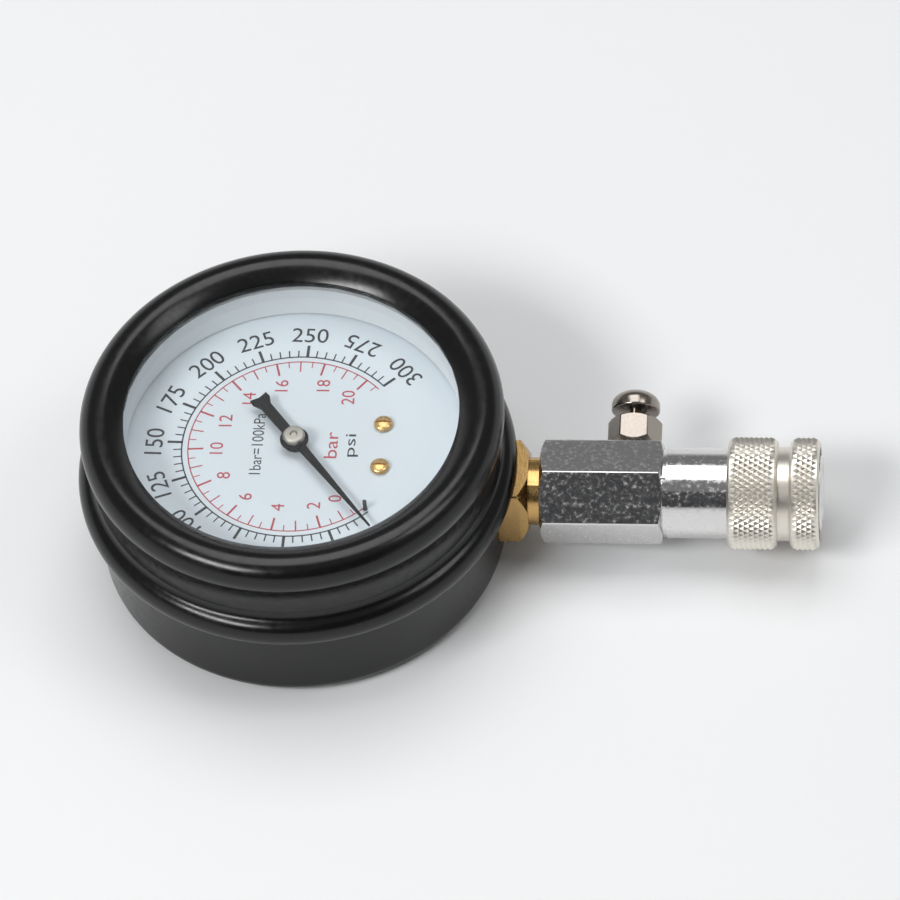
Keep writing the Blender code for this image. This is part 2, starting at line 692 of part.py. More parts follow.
def build_case():
    """The drawn steel case, with a square window for the socket and holes for its screws."""
    profile = [(0, CASE_BACK + CASE_WALL)]
    corner = (CASE_RADIUS - CASE_CORNER, CASE_BACK + CASE_CORNER)
    profile += bead(corner, CASE_CORNER - CASE_WALL, -90, 0, 3)
    profile += [(CASE_INNER_RADIUS, CASE_TOP), (CASE_RADIUS, CASE_TOP)]
    profile += bead(corner, CASE_CORNER, 0, -90, 3)
    profile.append((0, CASE_BACK))
    case = turned("case_shell", profile, None, "sheet_steel", CASE_STEPS)
    inside = CASE_INNER_RADIUS - 3 * RUN_PAST
    window = stem_box("case_outlet", inside, CASE_RADIUS + RUN_PAST, SOCKET_SQUARE + 2 * FIT_GAP)
    cut(case, window)
    for i, (x, y) in enumerate(CASE_SCREWS, 1):
        hole_top = CASE_BACK + CASE_WALL + RUN_PAST
        cut(case, pilot(f"case_screw_hole_{i}", SMALL_SCREW_RADIUS + FIT_GAP, 0, hole_top, (x, y)))
        upside_down = upright(x, y, CASE_BACK - FIT_GAP) @ Matrix.Rotation(pi, 4, "X")
        screw("case_screw", i, upside_down, "bright_steel")


def pilot(name, radius, bottom, top, spot):
    """An upright round cutter for a small hole."""
    return disc(name, radius, bottom, top, upright(*spot), None, SMALL_ROUND)


def screw(name, number, place, finish, head=SCREW_HEAD_RADIUS, height=SCREW_HEAD_HEIGHT, length=SCREW_LENGTH):
    """A cheese-head screw whose head sits on local Z = 0, with a driver slot across it."""
    profile = [
        (0, height),
        (head * SCREW_CROWN, height),
        (head, height * SCREW_SHOULDER),
        (head, 0),
        (SMALL_SCREW_RADIUS, 0),
        (SMALL_SCREW_RADIUS, -length),
        (0, -length),
    ]
    made = turned(f"{name}_{number}", profile, place, finish, SMALL_ROUND)
    half_slot = head * SLOT_WIDTH / 2
    low = (-head - RUN_PAST, -half_slot, height * SLOT_FLOOR)
    high = (head + RUN_PAST, half_slot, height + RUN_PAST)
    slot = box_between(f"{name}_{number}_slot", low, high)
    slot.matrix_world = place
    cut(made, slot)
    return made


def build_glazing():
    """The dial, the ring that holds it, the window, its gasket and the snap-on bezel."""
    seat = CASE_INNER_RADIUS - FIT_GAP
    holes = [circle((0, 0), DIAL_ARBOR_HOLE)]
    holes += [circle(spot, SMALL_SCREW_RADIUS + FIT_GAP) for spot in DIAL_SCREWS]
    holes.append(circle(STOP_PIN, STOP_PIN_RADIUS + PIVOT_GAP, 8))
    outlines = [circle((0, 0), seat, CASE_STEPS), *holes]
    flat_plate("dial", outlines, DIAL_BOTTOM, DIAL_THICKNESS, "white_enamel")
    inner = seat - SPACER_WALL
    collar("spacer_ring", inner, seat, SPACER_BOTTOM, SPACER_TOP, None, "white_plastic", CASE_STEPS)
    gasket_bottom = CASE_TOP + FIT_GAP
    gasket_inner = seat + FIT_GAP
    collar(
        "window_gasket", gasket_inner, CASE_RADIUS, gasket_bottom, SPACER_TOP, None, "nitrile", CASE_STEPS
    )
    disc(
        "window", CASE_RADIUS, WINDOW_BOTTOM, WINDOW_TOP, None, "clear_plastic", CASE_STEPS, WINDOW_EDGE
    )
    skirt_inner = CASE_RADIUS + FIT_GAP
    skirt_outer = skirt_inner + BEZEL_SHEET
    flange = CASE_RADIUS + BEZEL_SHEET - BEZEL_FLANGE
    profile = [
        (flange, BEZEL_TOP),
        (skirt_outer - BEZEL_SHEET, BEZEL_TOP),
        (skirt_outer, BEZEL_TOP - BEZEL_SHEET),
        (skirt_outer, BEZEL_TOP - BEZEL_SKIRT),
        (skirt_inner, BEZEL_TOP - BEZEL_SKIRT),
        (skirt_inner, BEZEL_TOP - BEZEL_SHEET),
        (flange, BEZEL_TOP - BEZEL_SHEET),
    ]
    turned("bezel_ring", profile, None, "black_steel", CASE_STEPS, ring=True)
    tapped_bottom = DIAL_POST_TOP - DIAL_POST_HOLE
    tapped = SMALL_SCREW_RADIUS + PIVOT_GAP
    for i, spot in enumerate(DIAL_SCREWS, 1):
        post = disc(
            f"dial_post_{i}",
            DIAL_POST_RADIUS,
            DIAL_POST_BOTTOM,
            DIAL_POST_TOP,
            upright(*spot),
            "brass",
            SMALL_ROUND,
        )
        cut(post, pilot(f"dial_post_hole_{i}", tapped, tapped_bottom, DIAL_POST_TOP + RUN_PAST, spot))
        place = upright(*spot, DIAL_TOP + FIT_GAP)
        screw("dial_screw", i, place, "brass", DIAL_SCREW_HEAD, DIAL_SCREW_HEAD_HEIGHT, DIAL_SCREW_LENGTH)
    pin_top = DIAL_TOP + STOP_PIN_HEIGHT
    disc("stop_pin", STOP_PIN_RADIUS, DIAL_BOTTOM, pin_top, upright(*STOP_PIN), "black_steel", 8)


def build_socket():
    """The brass socket: block, lug for the movement, square shank and threaded spigot."""
    half_block = SOCKET_BLOCK_WIDTH / 2
    half_square = SOCKET_SQUARE / 2
    bottom = CASE_BACK + CASE_WALL + FIT_GAP
    top = STEM_HEIGHT + half_square - SOCKET_BLOCK_STEP
    low = (SOCKET_BLOCK_INNER, -half_block, bottom)
    socket = box_between("socket_block", low, (SOCKET_BLOCK_OUTER, half_block, top), "brass")
    half_lug = half_block - LUG_STEP
    lug_end = (SOCKET_BLOCK_INNER + RUN_PAST, half_lug, LUG_TOP)
    cut(socket, box_between("socket_lug", (LUG_INNER, -half_lug, LUG_BOTTOM), lug_end), "UNION")
    shank_start = SOCKET_BLOCK_OUTER - RUN_PAST
    shank = stem_box("socket_shank", shank_start, SOCKET_NECK_START, SOCKET_SQUARE)
    corner = half_square * SOCKET_CORNER
    shank_profile = [
        (0, SOCKET_NECK_START + RUN_PAST),
        (half_square - SOCKET_SHANK_ROUND, SOCKET_NECK_START + RUN_PAST),
        (corner, SOCKET_SQUARE_END - SOCKET_CHAMFER),
        (corner, shank_start - RUN_PAST),
        (0, shank_start - RUN_PAST),
    ]
    cut(shank, turned("shank_blank", shank_profile, STEM_FRAME, None, 24), "INTERSECT")
    cut(socket, shank, "UNION")
    thread = SOCKET_THREAD_RADIUS
    inside = SOCKET_NECK_START - 2 * RUN_PAST
    spigot_profile = [
        (0, SOCKET_END),
        (thread - SOCKET_THREAD_LEAD, SOCKET_END),
        (thread, SOCKET_END - SOCKET_THREAD_LEAD),
        (thread, inside),
        (0, inside),
    ]
    cut(socket, turned("socket_spigot", spigot_profile, STEM_FRAME), "UNION")
    bore_end = SOCKET_END + RUN_PAST
    cut(socket, disc("socket_bore", SOCKET_BORE, TUBE_RADIUS, bore_end, STEM_FRAME, None, SMALL_ROUND))
    early = TUBE_START_ANGLE + TUBE_POCKET_EARLY
    late = TUBE_START_ANGLE - TUBE_POCKET_LATE
    cut(socket, tube_solid("tube_pocket", early, late, 8, FIT_GAP))
    tapped = SMALL_SCREW_RADIUS + PIVOT_GAP
    for i, spot in enumerate(MOVEMENT_SCREWS, 1):
        cut(socket, pilot(f"lug_hole_{i}", tapped, LUG_TOP - SCREW_HOLE, LUG_TOP + RUN_PAST, spot))
    for i, spot in enumerate(CASE_SCREWS, 1):
        cut(socket, pilot(f"block_hole_{i}", tapped, bottom - RUN_PAST, bottom + SCREW_HOLE, spot))
    washer_start = SOCKET_END + FIT_GAP
    washer_end = washer_start + WASHER_THICKNESS
    washer_outer = SOCKET_THREAD_RADIUS - FIT_GAP
    washer_inner = PASSAGE_RADIUS + FIT_GAP
    collar("seal_washer", washer_inner, washer_outer, washer_start, washer_end, STEM_FRAME, "bronze")


def tube_solid(name, start, end, steps, grow=0.0, finish=None):
    """The flattened tube swept round the dial's axis, made larger by grow where it cuts its pocket."""
    width = TUBE_WIDTH / 2 + grow
    thick = TUBE_THICKNESS / 2 + grow
    section = bpy.data.curves.new(name + "_section", "CURVE")
    section.dimensions = "2D"
    outline = section.splines.new("POLY")
    flat = [arc((0, width - thick), thick, 0, 180, 4), arc((0, thick - width), thick, 180, 360, 4)]
    points = flat[0] + flat[1]
    outline.points.add(len(points) - 1)
    for point, (x, y) in zip(outline.points, points):
        point.co = (x, y, 0, 1)
    outline.use_cyclic_u = True
    holder = bpy.data.objects.new(name + "_section", section)
    bpy.data.collections[CUTTER_COLLECTION_NAME].objects.link(holder)
    sweep = bpy.data.curves.new(name, "CURVE")
    sweep.dimensions = "3D"
    sweep.twist_mode = "Z_UP"
    sweep.bevel_mode = "OBJECT"
    sweep.bevel_object = holder
    sweep.use_fill_caps = True
    spline = sweep.splines.new("POLY")
    spline.points.add(steps)
    for point, (x, y) in zip(spline.points, arc((0, 0), TUBE_RADIUS, start, end, steps)):
        point.co = (x, y, STEM_HEIGHT, 1)
    made = curve_to_mesh(sweep, name, Matrix.Identity(4), finish)
    bpy.data.objects.remove(holder, do_unlink=True)
    return made


def build_tube():
    """The Bourdon tube, its end piece with the tab for the link, and the pin in that tab."""
    tube_solid("bourdon_tube", TUBE_START_ANGLE, TUBE_END_ANGLE, TUBE_STEPS, 0.0, "bronze")
    tip_angle = TUBE_END_ANGLE + 360
    along = degrees((TIP_LENGTH / 2 + FIT_GAP) / TUBE_RADIUS)
    frame = Matrix.Rotation(radians(tip_angle - along), 4, "Z")
    half = TUBE_THICKNESS / 2 + TIP_WALL
    tall = TUBE_WIDTH / 2 + TIP_WALL
    tip = box_between(
        "tube_tip",
        (TUBE_RADIUS - half, -TIP_LENGTH / 2, STEM_HEIGHT - tall),
        (TUBE_RADIUS + half, TIP_LENGTH / 2, STEM_HEIGHT + tall),
        "brass",
        TIP_BEVEL,
    )
    tip.matrix_world = frame
    joint = empty_at("tip_swing_axis", upright(*tube_centroid()))
    tab_root = on_circle(TUBE_RADIUS - half + TIP_TAB_OVERLAP, tip_angle - along)
    tab_outline = belt([(TIP_PIN, TIP_TAB_EYE), (tab_root, TIP_TAB_ROOT)])
    tab = flat_plate("tip_tab", [tab_outline], TIP_TAB_BOTTOM, TIP_TAB_THICKNESS)
    cut(tip, tab, "UNION")
    tab_top = TIP_TAB_BOTTOM + TIP_TAB_THICKNESS
    pin_hole = PIN_RADIUS + PIVOT_GAP
    hole_bottom = TIP_TAB_BOTTOM - RUN_PAST
    cut(tip, pilot("tip_pin_hole", pin_hole, hole_bottom, tab_top + RUN_PAST, TIP_PIN))
    hang(tip, joint)
    pin_shoulder = LINK_BOTTOM + LINK_THICKNESS + FIT_GAP
    pin = rivet("tip_pin", TIP_PIN, TIP_TAB_BOTTOM, pin_shoulder, "bright_steel")
    hang(pin, joint)
    return joint


def tube_centroid():
    """The centre of the tube's arc, about which its free end swings as it uncurls."""
    half = radians(abs(TUBE_END_ANGLE - TUBE_START_ANGLE) / 2)
    middle = (TUBE_START_ANGLE + TUBE_END_ANGLE) / 2
    return on_circle(TUBE_RADIUS * sin(half) / half, middle)


def rivet(name, spot, bottom, shoulder, finish):
    """A headed pin that stands in a hole, with its head above its shoulder height."""
    profile = [
        (0, shoulder + PIN_HEAD_HEIGHT),
        (PIN_HEAD_RADIUS * PIN_HEAD_CROWN, shoulder + PIN_HEAD_HEIGHT),
        (PIN_HEAD_RADIUS, shoulder + PIN_HEAD_HEIGHT / 2),
        (PIN_HEAD_RADIUS, shoulder),
        (PIN_RADIUS, shoulder),
        (PIN_RADIUS, bottom),
        (0, bottom),
    ]
    return turned(name, profile, upright(*spot), finish, SMALL_ROUND)


def gear_outline(teeth, first, last, phase):
    """Points round the teeth from first to last of a gear, each tooth a tapered trapezium."""
    pitch_radius = GEAR_MODULE * teeth / 2
    step = 360 / teeth
    addendum = ADDENDUM * GEAR_MODULE
    dedendum = DEDENDUM * GEAR_MODULE
    at_pitch = TOOTH_WIDTH * pi * GEAR_MODULE
    root_half = degrees((at_pitch / 2 + dedendum * TOOTH_SLOPE) / pitch_radius)
    tip_half = degrees((at_pitch / 2 - addendum * TOOTH_SLOPE) / pitch_radius)
    points = []
    for tooth in range(first, last + 1):
        middle = phase + (tooth + 0.5) * step
        points.append(on_circle(pitch_radius - dedendum, middle - root_half))
        points.append(on_circle(pitch_radius + addendum, middle - tip_half))
        points.append(on_circle(pitch_radius + addendum, middle + tip_half))
        points.append(on_circle(pitch_radius - dedendum, middle + root_half))
    return points


def build_sector():
    """The toothed sector with its tail, its arbor and the pin in its tail."""
    joint = empty_at("sector_swing_axis", upright(*SECTOR_PIVOT))
    facing = SECTOR_BEARING + 180
    teeth = gear_outline(SECTOR_TEETH, SECTOR_FIRST_TOOTH, SECTOR_LAST_TOOTH, facing)
    step = 360 / SECTOR_TEETH
    low = facing + SECTOR_FIRST_TOOTH * step
    high = facing + (SECTOR_LAST_TOOTH + 1) * step
    rim = GEAR_MODULE * SECTOR_TEETH / 2 - SECTOR_RIM
    eye = PIN_HEAD_RADIUS + TAIL_EYE_WALL
    tail = on_circle(TAIL_ARM, TAIL_REST_ANGLE)
    spoke_low = low + SECTOR_SPOKE_ANGLE
    spoke_high = high - SECTOR_SPOKE_ANGLE
    outline = teeth
    outline += [on_circle(rim, high), on_circle(rim * SECTOR_RIM_TAPER, spoke_high)]
    outline += arc((0, 0), SECTOR_HUB, high + 2, TAIL_REST_ANGLE + 360 - 42, 4)
    outline += arc(tail, eye, TAIL_REST_ANGLE - 90, TAIL_REST_ANGLE + 90, 6)
    outline += arc((0, 0), SECTOR_HUB, TAIL_REST_ANGLE + 42, low - 2, 6)
    outline += [on_circle(rim * SECTOR_RIM_TAPER, spoke_low), on_circle(rim, low)]
    slot = arc((0, 0), rim - SECTOR_SLOT_RIM, spoke_low, spoke_high, 6)
    slot += arc((0, 0), SECTOR_HUB + SECTOR_SLOT_SETBACK, high - 20, low + 20, 4)
    holes = [circle((0, 0), ARBOR_RADIUS + PIVOT_GAP), circle(tail, PIN_RADIUS + PIVOT_GAP), slot]
    outlines = [outline, *holes]
    gear = flat_plate("sector_gear", outlines, SECTOR_BOTTOM, SECTOR_FACE, "brass", upright(*SECTOR_PIVOT))
    hang(gear, joint)
    shoulder_low = BACK_PLATE_TOP + FIT_GAP
    shoulder_high = FRONT_PLATE_BOTTOM - FIT_GAP
    collar_top = SECTOR_BOTTOM - FIT_GAP
    collar_bottom = collar_top - SECTOR_COLLAR_HEIGHT
    profile = [
        (0, FRONT_PLATE_TOP),
        (PIVOT_RADIUS, FRONT_PLATE_TOP),
        (PIVOT_RADIUS, shoulder_high),
        (ARBOR_RADIUS, shoulder_high),
        (ARBOR_RADIUS, collar_top),
        (SECTOR_COLLAR_RADIUS, collar_top),
        (SECTOR_COLLAR_RADIUS, collar_bottom),
        (ARBOR_RADIUS, collar_bottom),
        (ARBOR_RADIUS, shoulder_low),
        (PIVOT_RADIUS, shoulder_low),
        (PIVOT_RADIUS, BACK_PLATE_BOTTOM),
        (0, BACK_PLATE_BOTTOM),
    ]
    hang(turned("sector_arbor", profile, upright(*SECTOR_PIVOT), "bright_steel", SMALL_ROUND), joint)
    pin_shoulder = SECTOR_BOTTOM + SECTOR_FACE + FIT_GAP
    pin = rivet("tail_pin", TAIL_PIN, LINK_BOTTOM - PIN_TAIL, pin_shoulder, "bright_steel")
    hang(pin, joint)


def build_link(tip_joint):
    """The flat link from the tube's end to the sector's tail."""
    joint = empty_at("link_pivot_axis", upright(*TIP_PIN), tip_joint)
    run = TAIL_PIN - TIP_PIN
    heading = degrees(atan2(run.y, run.x))
    waist = LINK_WAIST / 2
    waist_start = LINK_EYE + LINK_TAPER
    waist_end = run.length - waist_start
    outline = arc((0, 0), LINK_EYE, 40, 320, 8)
    outline += [Vector((waist_start, -waist)), Vector((waist_end, -waist))]
    outline += arc((run.length, 0), LINK_EYE, -140, 140, 8)
    outline += [Vector((waist_end, waist)), Vector((waist_start, waist))]
    holes = [circle((0, 0), PIN_RADIUS + FIT_GAP), circle((run.length, 0), PIN_RADIUS + EYE_PLAY)]
    place = upright(*TIP_PIN) @ Matrix.Rotation(radians(heading), 4, "Z")
    link = flat_plate("link", [outline, *holes], LINK_BOTTOM, LINK_THICKNESS, "brass", place)
    hang(link, joint)


def build_plates():
    """The movement's two plates, their pillars and the screws that hold them to the lug."""
    bosses = [(Vector(spot), PLATE_EDGE) for spot in PILLAR_SPOTS]
    outline = belt([*bosses, (SECTOR_PIVOT, PLATE_SECTOR_BOSS)])
    pillar_holes = [circle(spot, PILLAR_RADIUS / 2 + PIVOT_GAP) for spot in PILLAR_SPOTS]
    pivots = [circle((0, 0), PIVOT_RADIUS + PIVOT_GAP), circle(SECTOR_PIVOT, PIVOT_RADIUS + PIVOT_GAP)]
    screw_holes = [circle(spot, SMALL_SCREW_RADIUS + FIT_GAP) for spot in MOVEMENT_SCREWS]
    back = [outline, *pivots, *pillar_holes, *screw_holes]
    flat_plate("movement_back_plate", back, BACK_PLATE_BOTTOM, PLATE_THICKNESS, "brass")
    shaft = [circle((0, 0), ARBOR_RADIUS + PIVOT_GAP), circle(SECTOR_PIVOT, PIVOT_RADIUS + PIVOT_GAP)]
    front = [outline, *shaft, *pillar_holes]
    flat_plate("movement_front_plate", front, FRONT_PLATE_BOTTOM, PLATE_THICKNESS, "brass")
    for i, (x, y) in enumerate(PILLAR_SPOTS, 1):
        low = BACK_PLATE_TOP + FIT_GAP
        high = FRONT_PLATE_BOTTOM - FIT_GAP
        end = PILLAR_RADIUS / 2
        profile = [
            (0, FRONT_PLATE_TOP),
            (end, FRONT_PLATE_TOP),
            (end, high),
            (PILLAR_RADIUS, high),
            (PILLAR_RADIUS, low),
            (end, low),
            (end, BACK_PLATE_BOTTOM),
            (0, BACK_PLATE_BOTTOM),
        ]
        turned(f"plate_pillar_{i}", profile, upright(x, y), "brass", SMALL_ROUND)
    for i, (x, y) in enumerate(MOVEMENT_SCREWS, 1):
        screw("movement_screw", i, upright(x, y, BACK_PLATE_TOP + FIT_GAP), "bright_steel")


def build_pointer():
    """The pinion on its arbor, the hairspring, the pointer and its cap."""
    joint = empty_at("pointer_turn_axis", Matrix.Identity(4))
    face_bottom = SECTOR_BOTTOM - (PINION_FACE - SECTOR_FACE) / 2
    step = 360 / PINION_TEETH
    teeth = gear_outline(PINION_TEETH, 0, PINION_TEETH - 1, SECTOR_BEARING - step / 2)
    pinion = flat_plate("pinion_arbor", [teeth], face_bottom, PINION_FACE, "bright_steel")
    shoulder = BACK_PLATE_TOP + FIT_GAP
    boss_bottom = POINTER_LEVEL - POINTER_BOSS_HEIGHT
    arbor_top = POINTER_LEVEL + POINTER_THICKNESS + POINTER_CAP_RECESS + PIVOT_GAP
    arbor_profile = [
        (0, arbor_top),
        (PIVOT_RADIUS, arbor_top),
        (PIVOT_RADIUS, boss_bottom),
        (ARBOR_RADIUS, boss_bottom - ARBOR_TAPER),
        (ARBOR_RADIUS, shoulder),
        (PIVOT_RADIUS, shoulder),
        (PIVOT_RADIUS, BACK_PLATE_BOTTOM),
        (0, BACK_PLATE_BOTTOM),
    ]
    arbor = turned("pinion_arbor_shaft", arbor_profile, None, None, SMALL_ROUND)
    cut(pinion, arbor, "UNION")
    hang(pinion, joint)
    collet = collar(
        "hairspring_collet",
        ARBOR_RADIUS + PIVOT_GAP,
        COLLET_RADIUS,
        HAIRSPRING_LEVEL - COLLET_SHOW,
        HAIRSPRING_LEVEL + HAIRSPRING_HEIGHT + COLLET_SHOW,
        None,
        "brass",
        SMALL_ROUND,
    )
    hang(collet, joint)
    inner = COLLET_RADIUS + FIT_GAP
    count = int(HAIRSPRING_TURNS * HAIRSPRING_STEPS)
    grow = (HAIRSPRING_OUTER - inner) / count
    start = 270 - 360 * HAIRSPRING_TURNS
    turns = [(inner + grow * i, start + 360 * HAIRSPRING_TURNS * i / count) for i in range(count + 1)]
    inside = [on_circle(radius, angle) for radius, angle in turns]
    outside = [on_circle(radius + HAIRSPRING_RIBBON, angle) for radius, angle in turns]
    ribbon = inside + outside[::-1]
    flat_plate("hairspring", [ribbon], HAIRSPRING_LEVEL, HAIRSPRING_HEIGHT, "bronze")
    disc(
        "hairspring_stud",
        HAIRSPRING_STUD_RADIUS,
        HAIRSPRING_LEVEL - HAIRSPRING_STUD_DROP,
        FRONT_PLATE_BOTTOM - FIT_GAP,
        upright(HAIRSPRING_STUD_RADIUS + FIT_GAP, -HAIRSPRING_OUTER - HAIRSPRING_RIBBON / 2),
        "brass",
        12,
    )
    aim = Matrix.Rotation(radians(POINTER_ANGLE), 4, "Z")
    hub = POINTER_HUB
    arm = POINTER_ARM_WIDTH / 2
    neck = POINTER_TAIL_NECK / 2
    end = POINTER_TAIL_END / 2
    arm_angle = degrees(atan2(arm, hub))
    neck_angle = degrees(atan2(neck, hub))
    barb = POINTER_TAIL_CORNER - POINTER_TAIL
    outline = [Vector((POINTER_LENGTH, POINTER_TIP_WIDTH / 2)), Vector((hub, arm))]
    outline += arc((0, 0), hub, arm_angle + 4, 180 - neck_angle - 4, 8)
    outline += [
        Vector((-hub, neck)),
        Vector((barb + POINTER_TAIL_BARB, neck)),
        Vector((barb, end)),
        Vector((-POINTER_TAIL, end * POINTER_TAIL_TAPER)),
        Vector((POINTER_TAIL_NOTCH - POINTER_TAIL, 0)),
    ]
    outline += [Vector((x, -y)) for x, y in outline[::-1][1:]]
    outlines = [outline, circle((0, 0), PIVOT_RADIUS + PIVOT_GAP)]
    pointer = flat_plate("pointer", outlines, POINTER_LEVEL, POINTER_THICKNESS, "black_enamel", aim)
    boss_top = POINTER_LEVEL + POINTER_THICKNESS / 2
    recess = PIVOT_RADIUS + PIVOT_GAP
    boss = collar(
        "pointer_boss", recess, POINTER_CAP_RADIUS, boss_bottom, boss_top, None, None, SMALL_ROUND
    )
    boss.matrix_world = aim
    cut(pointer, boss, "UNION")
    hang(pointer, joint)
    cap_bottom = POINTER_LEVEL + POINTER_THICKNESS + FIT_GAP
    cap_top = cap_bottom + POINTER_CAP_HEIGHT
    dimple = POINTER_CAP_DIMPLE
    cap_profile = [
        (0, cap_top - POINTER_CAP_DIMPLE_DEPTH),
        (dimple - POINTER_CAP_DIMPLE_DEPTH, cap_top - POINTER_CAP_DIMPLE_DEPTH),
        (dimple, cap_top),
        (POINTER_CAP_RADIUS - POINTER_CAP_EDGE, cap_top),
        (POINTER_CAP_RADIUS, cap_top - POINTER_CAP_EDGE),
        (POINTER_CAP_RADIUS, cap_bottom),
        (recess, cap_bottom),
        (recess, cap_bottom + POINTER_CAP_RECESS),
        (0, cap_bottom + POINTER_CAP_RECESS),
    ]
    hang(turned("pointer_cap", cap_profile, None, "bright_steel", 24), joint)


def build_coupler():
    """The coupler body: hexagon, round barrel and nose from one bar, bored right through."""
    corner = HEX_FACE / cos(pi / 6)
    face = HEX_FACE - HEX_FACING
    blank_profile = [
        (0, HEX_END),
        (face, HEX_END),
        (corner, HEX_END - HEX_CHAMFER),
        (corner, HEX_START + HEX_CHAMFER),
        (face, HEX_START),
        (0, HEX_START),
    ]
    body = turned("coupler_body", blank_profile, STEM_FRAME, "chrome", COUPLER_STEPS)
    flats_end = HEX_END + RUN_PAST
    flats = prism("hexagon", 6, HEX_FLATS, HEX_START - RUN_PAST, flats_end, STEM_FRAME, None, HEX_ROLL + 90)
    cut(body, flats, "INTERSECT")
    groove = COUPLER_RADIUS - COUPLER_GROOVE_DEPTH
    ring_groove = NOSE_RADIUS - SNAP_GROOVE_DEPTH
    ring_start = SNAP_RING_START - PIVOT_GAP
    ring_end = SNAP_RING_START + SNAP_RING_WIDTH + PIVOT_GAP
    barrel_profile = [
        (0, NOSE_END),
        (NOSE_RADIUS - NOSE_EDGE, NOSE_END),
        (NOSE_RADIUS, NOSE_END - NOSE_EDGE),
        (NOSE_RADIUS, ring_end),
        (ring_groove, ring_end),
        (ring_groove, ring_start),
        (NOSE_RADIUS, ring_start),
        (NOSE_RADIUS, COUPLER_SHOULDER),
        (COUPLER_RADIUS, COUPLER_SHOULDER),
        (COUPLER_RADIUS, HEX_END + COUPLER_GROOVE_WIDTH),
        (groove, HEX_END + COUPLER_GROOVE_WIDTH),
        (groove, HEX_END - 2 * RUN_PAST),
        (0, HEX_END - 2 * RUN_PAST),
    ]
    cut(body, turned("barrel", barrel_profile, STEM_FRAME, None, COUPLER_STEPS), "UNION")
    seal_groove = NOSE_BORE + SEAL_GROOVE_DEPTH
    bore_profile = [
        (0, NOSE_END + RUN_PAST),
        (NOSE_BORE + NOSE_LEAD, NOSE_END + RUN_PAST),
        (NOSE_BORE + NOSE_LEAD, NOSE_END),
        (NOSE_BORE, NOSE_END - NOSE_LEAD),
        (NOSE_BORE, SEAL_GROOVE_START + SEAL_GROOVE_WIDTH),
        (seal_groove, SEAL_GROOVE_START + SEAL_GROOVE_WIDTH),
        (seal_groove, SEAL_GROOVE_START),
        (NOSE_BORE, SEAL_GROOVE_START),
        (NOSE_BORE, NOSE_BORE_START),
        (PASSAGE_RADIUS, NOSE_BORE_START),
        (PASSAGE_RADIUS, THREAD_BORE_END),
        (THREAD_BORE, THREAD_BORE_END),
        (THREAD_BORE, HEX_START + THREAD_LEAD),
        (THREAD_BORE + THREAD_LEAD, HEX_START),
        (THREAD_BORE + THREAD_LEAD, HEX_START - RUN_PAST),
        (0, HEX_START - RUN_PAST),
    ]
    cut(body, turned("coupler_bore", bore_profile, STEM_FRAME, None, COUPLER_STEPS))
    seat = HEX_FACE - VALVE_SHANK_LENGTH - FIT_GAP
    shank = VALVE_SHANK_RADIUS + FIT_GAP
    valve_profile = [
        (0, HEX_FACE + RUN_PAST),
        (shank, HEX_FACE + RUN_PAST),
        (shank, seat),
        (VALVE_CHAMBER_RADIUS, seat),
        (VALVE_CHAMBER_RADIUS, VALVE_CHAMBER_FLOOR),
        (0, VALVE_CHAMBER_FLOOR),
    ]
    cut(body, turned("valve_bore", valve_profile, VALVE_FRAME, None, 24))
    for i in range(BALL_COUNT):
        place = ball_frame(i)
        wide = BALL_RADIUS + BALL_CAGE_GAP
        hole_profile = [
            (0, NOSE_RADIUS + RUN_PAST),
            (wide, NOSE_RADIUS + RUN_PAST),
            (wide, BALL_ORBIT - BALL_CAGE_GAP),
            (BALL_HOLE_INNER, NOSE_BORE),
            (BALL_HOLE_INNER, NOSE_BORE - 2 * RUN_PAST),
            (0, NOSE_BORE - 2 * RUN_PAST),
        ]
        hole = turned(f"ball_hole_{i + 1}", hole_profile, place, None, 16)
        cut(body, hole)
    inner = NOSE_BORE - SEAL_PROUD
    wire_radius = (seal_groove - FIT_GAP - inner) / 2
    middle = SEAL_GROOVE_START + SEAL_GROOVE_WIDTH / 2
    wide = min(wire_radius, SEAL_GROOVE_WIDTH / 2 - PIVOT_GAP)
    centre = inner + wire_radius
    angles = [radians(angle) for angle in range(-90, 270, 45)]
    section = [(centre + wire_radius * cos(a), middle - wide * sin(a)) for a in angles]
    turned("coupler_seal", section, STEM_FRAME, "nitrile", ROUND, ring=True)


def ball_frame(index):
    """The frame of one ball's hole: local Z points outwards from the stem's axis."""
    around = 360 * index / BALL_COUNT
    return (
        Matrix.Translation((BALL_POSITION, 0, STEM_HEIGHT))
        @ Matrix.Rotation(radians(around), 4, "X")
    )


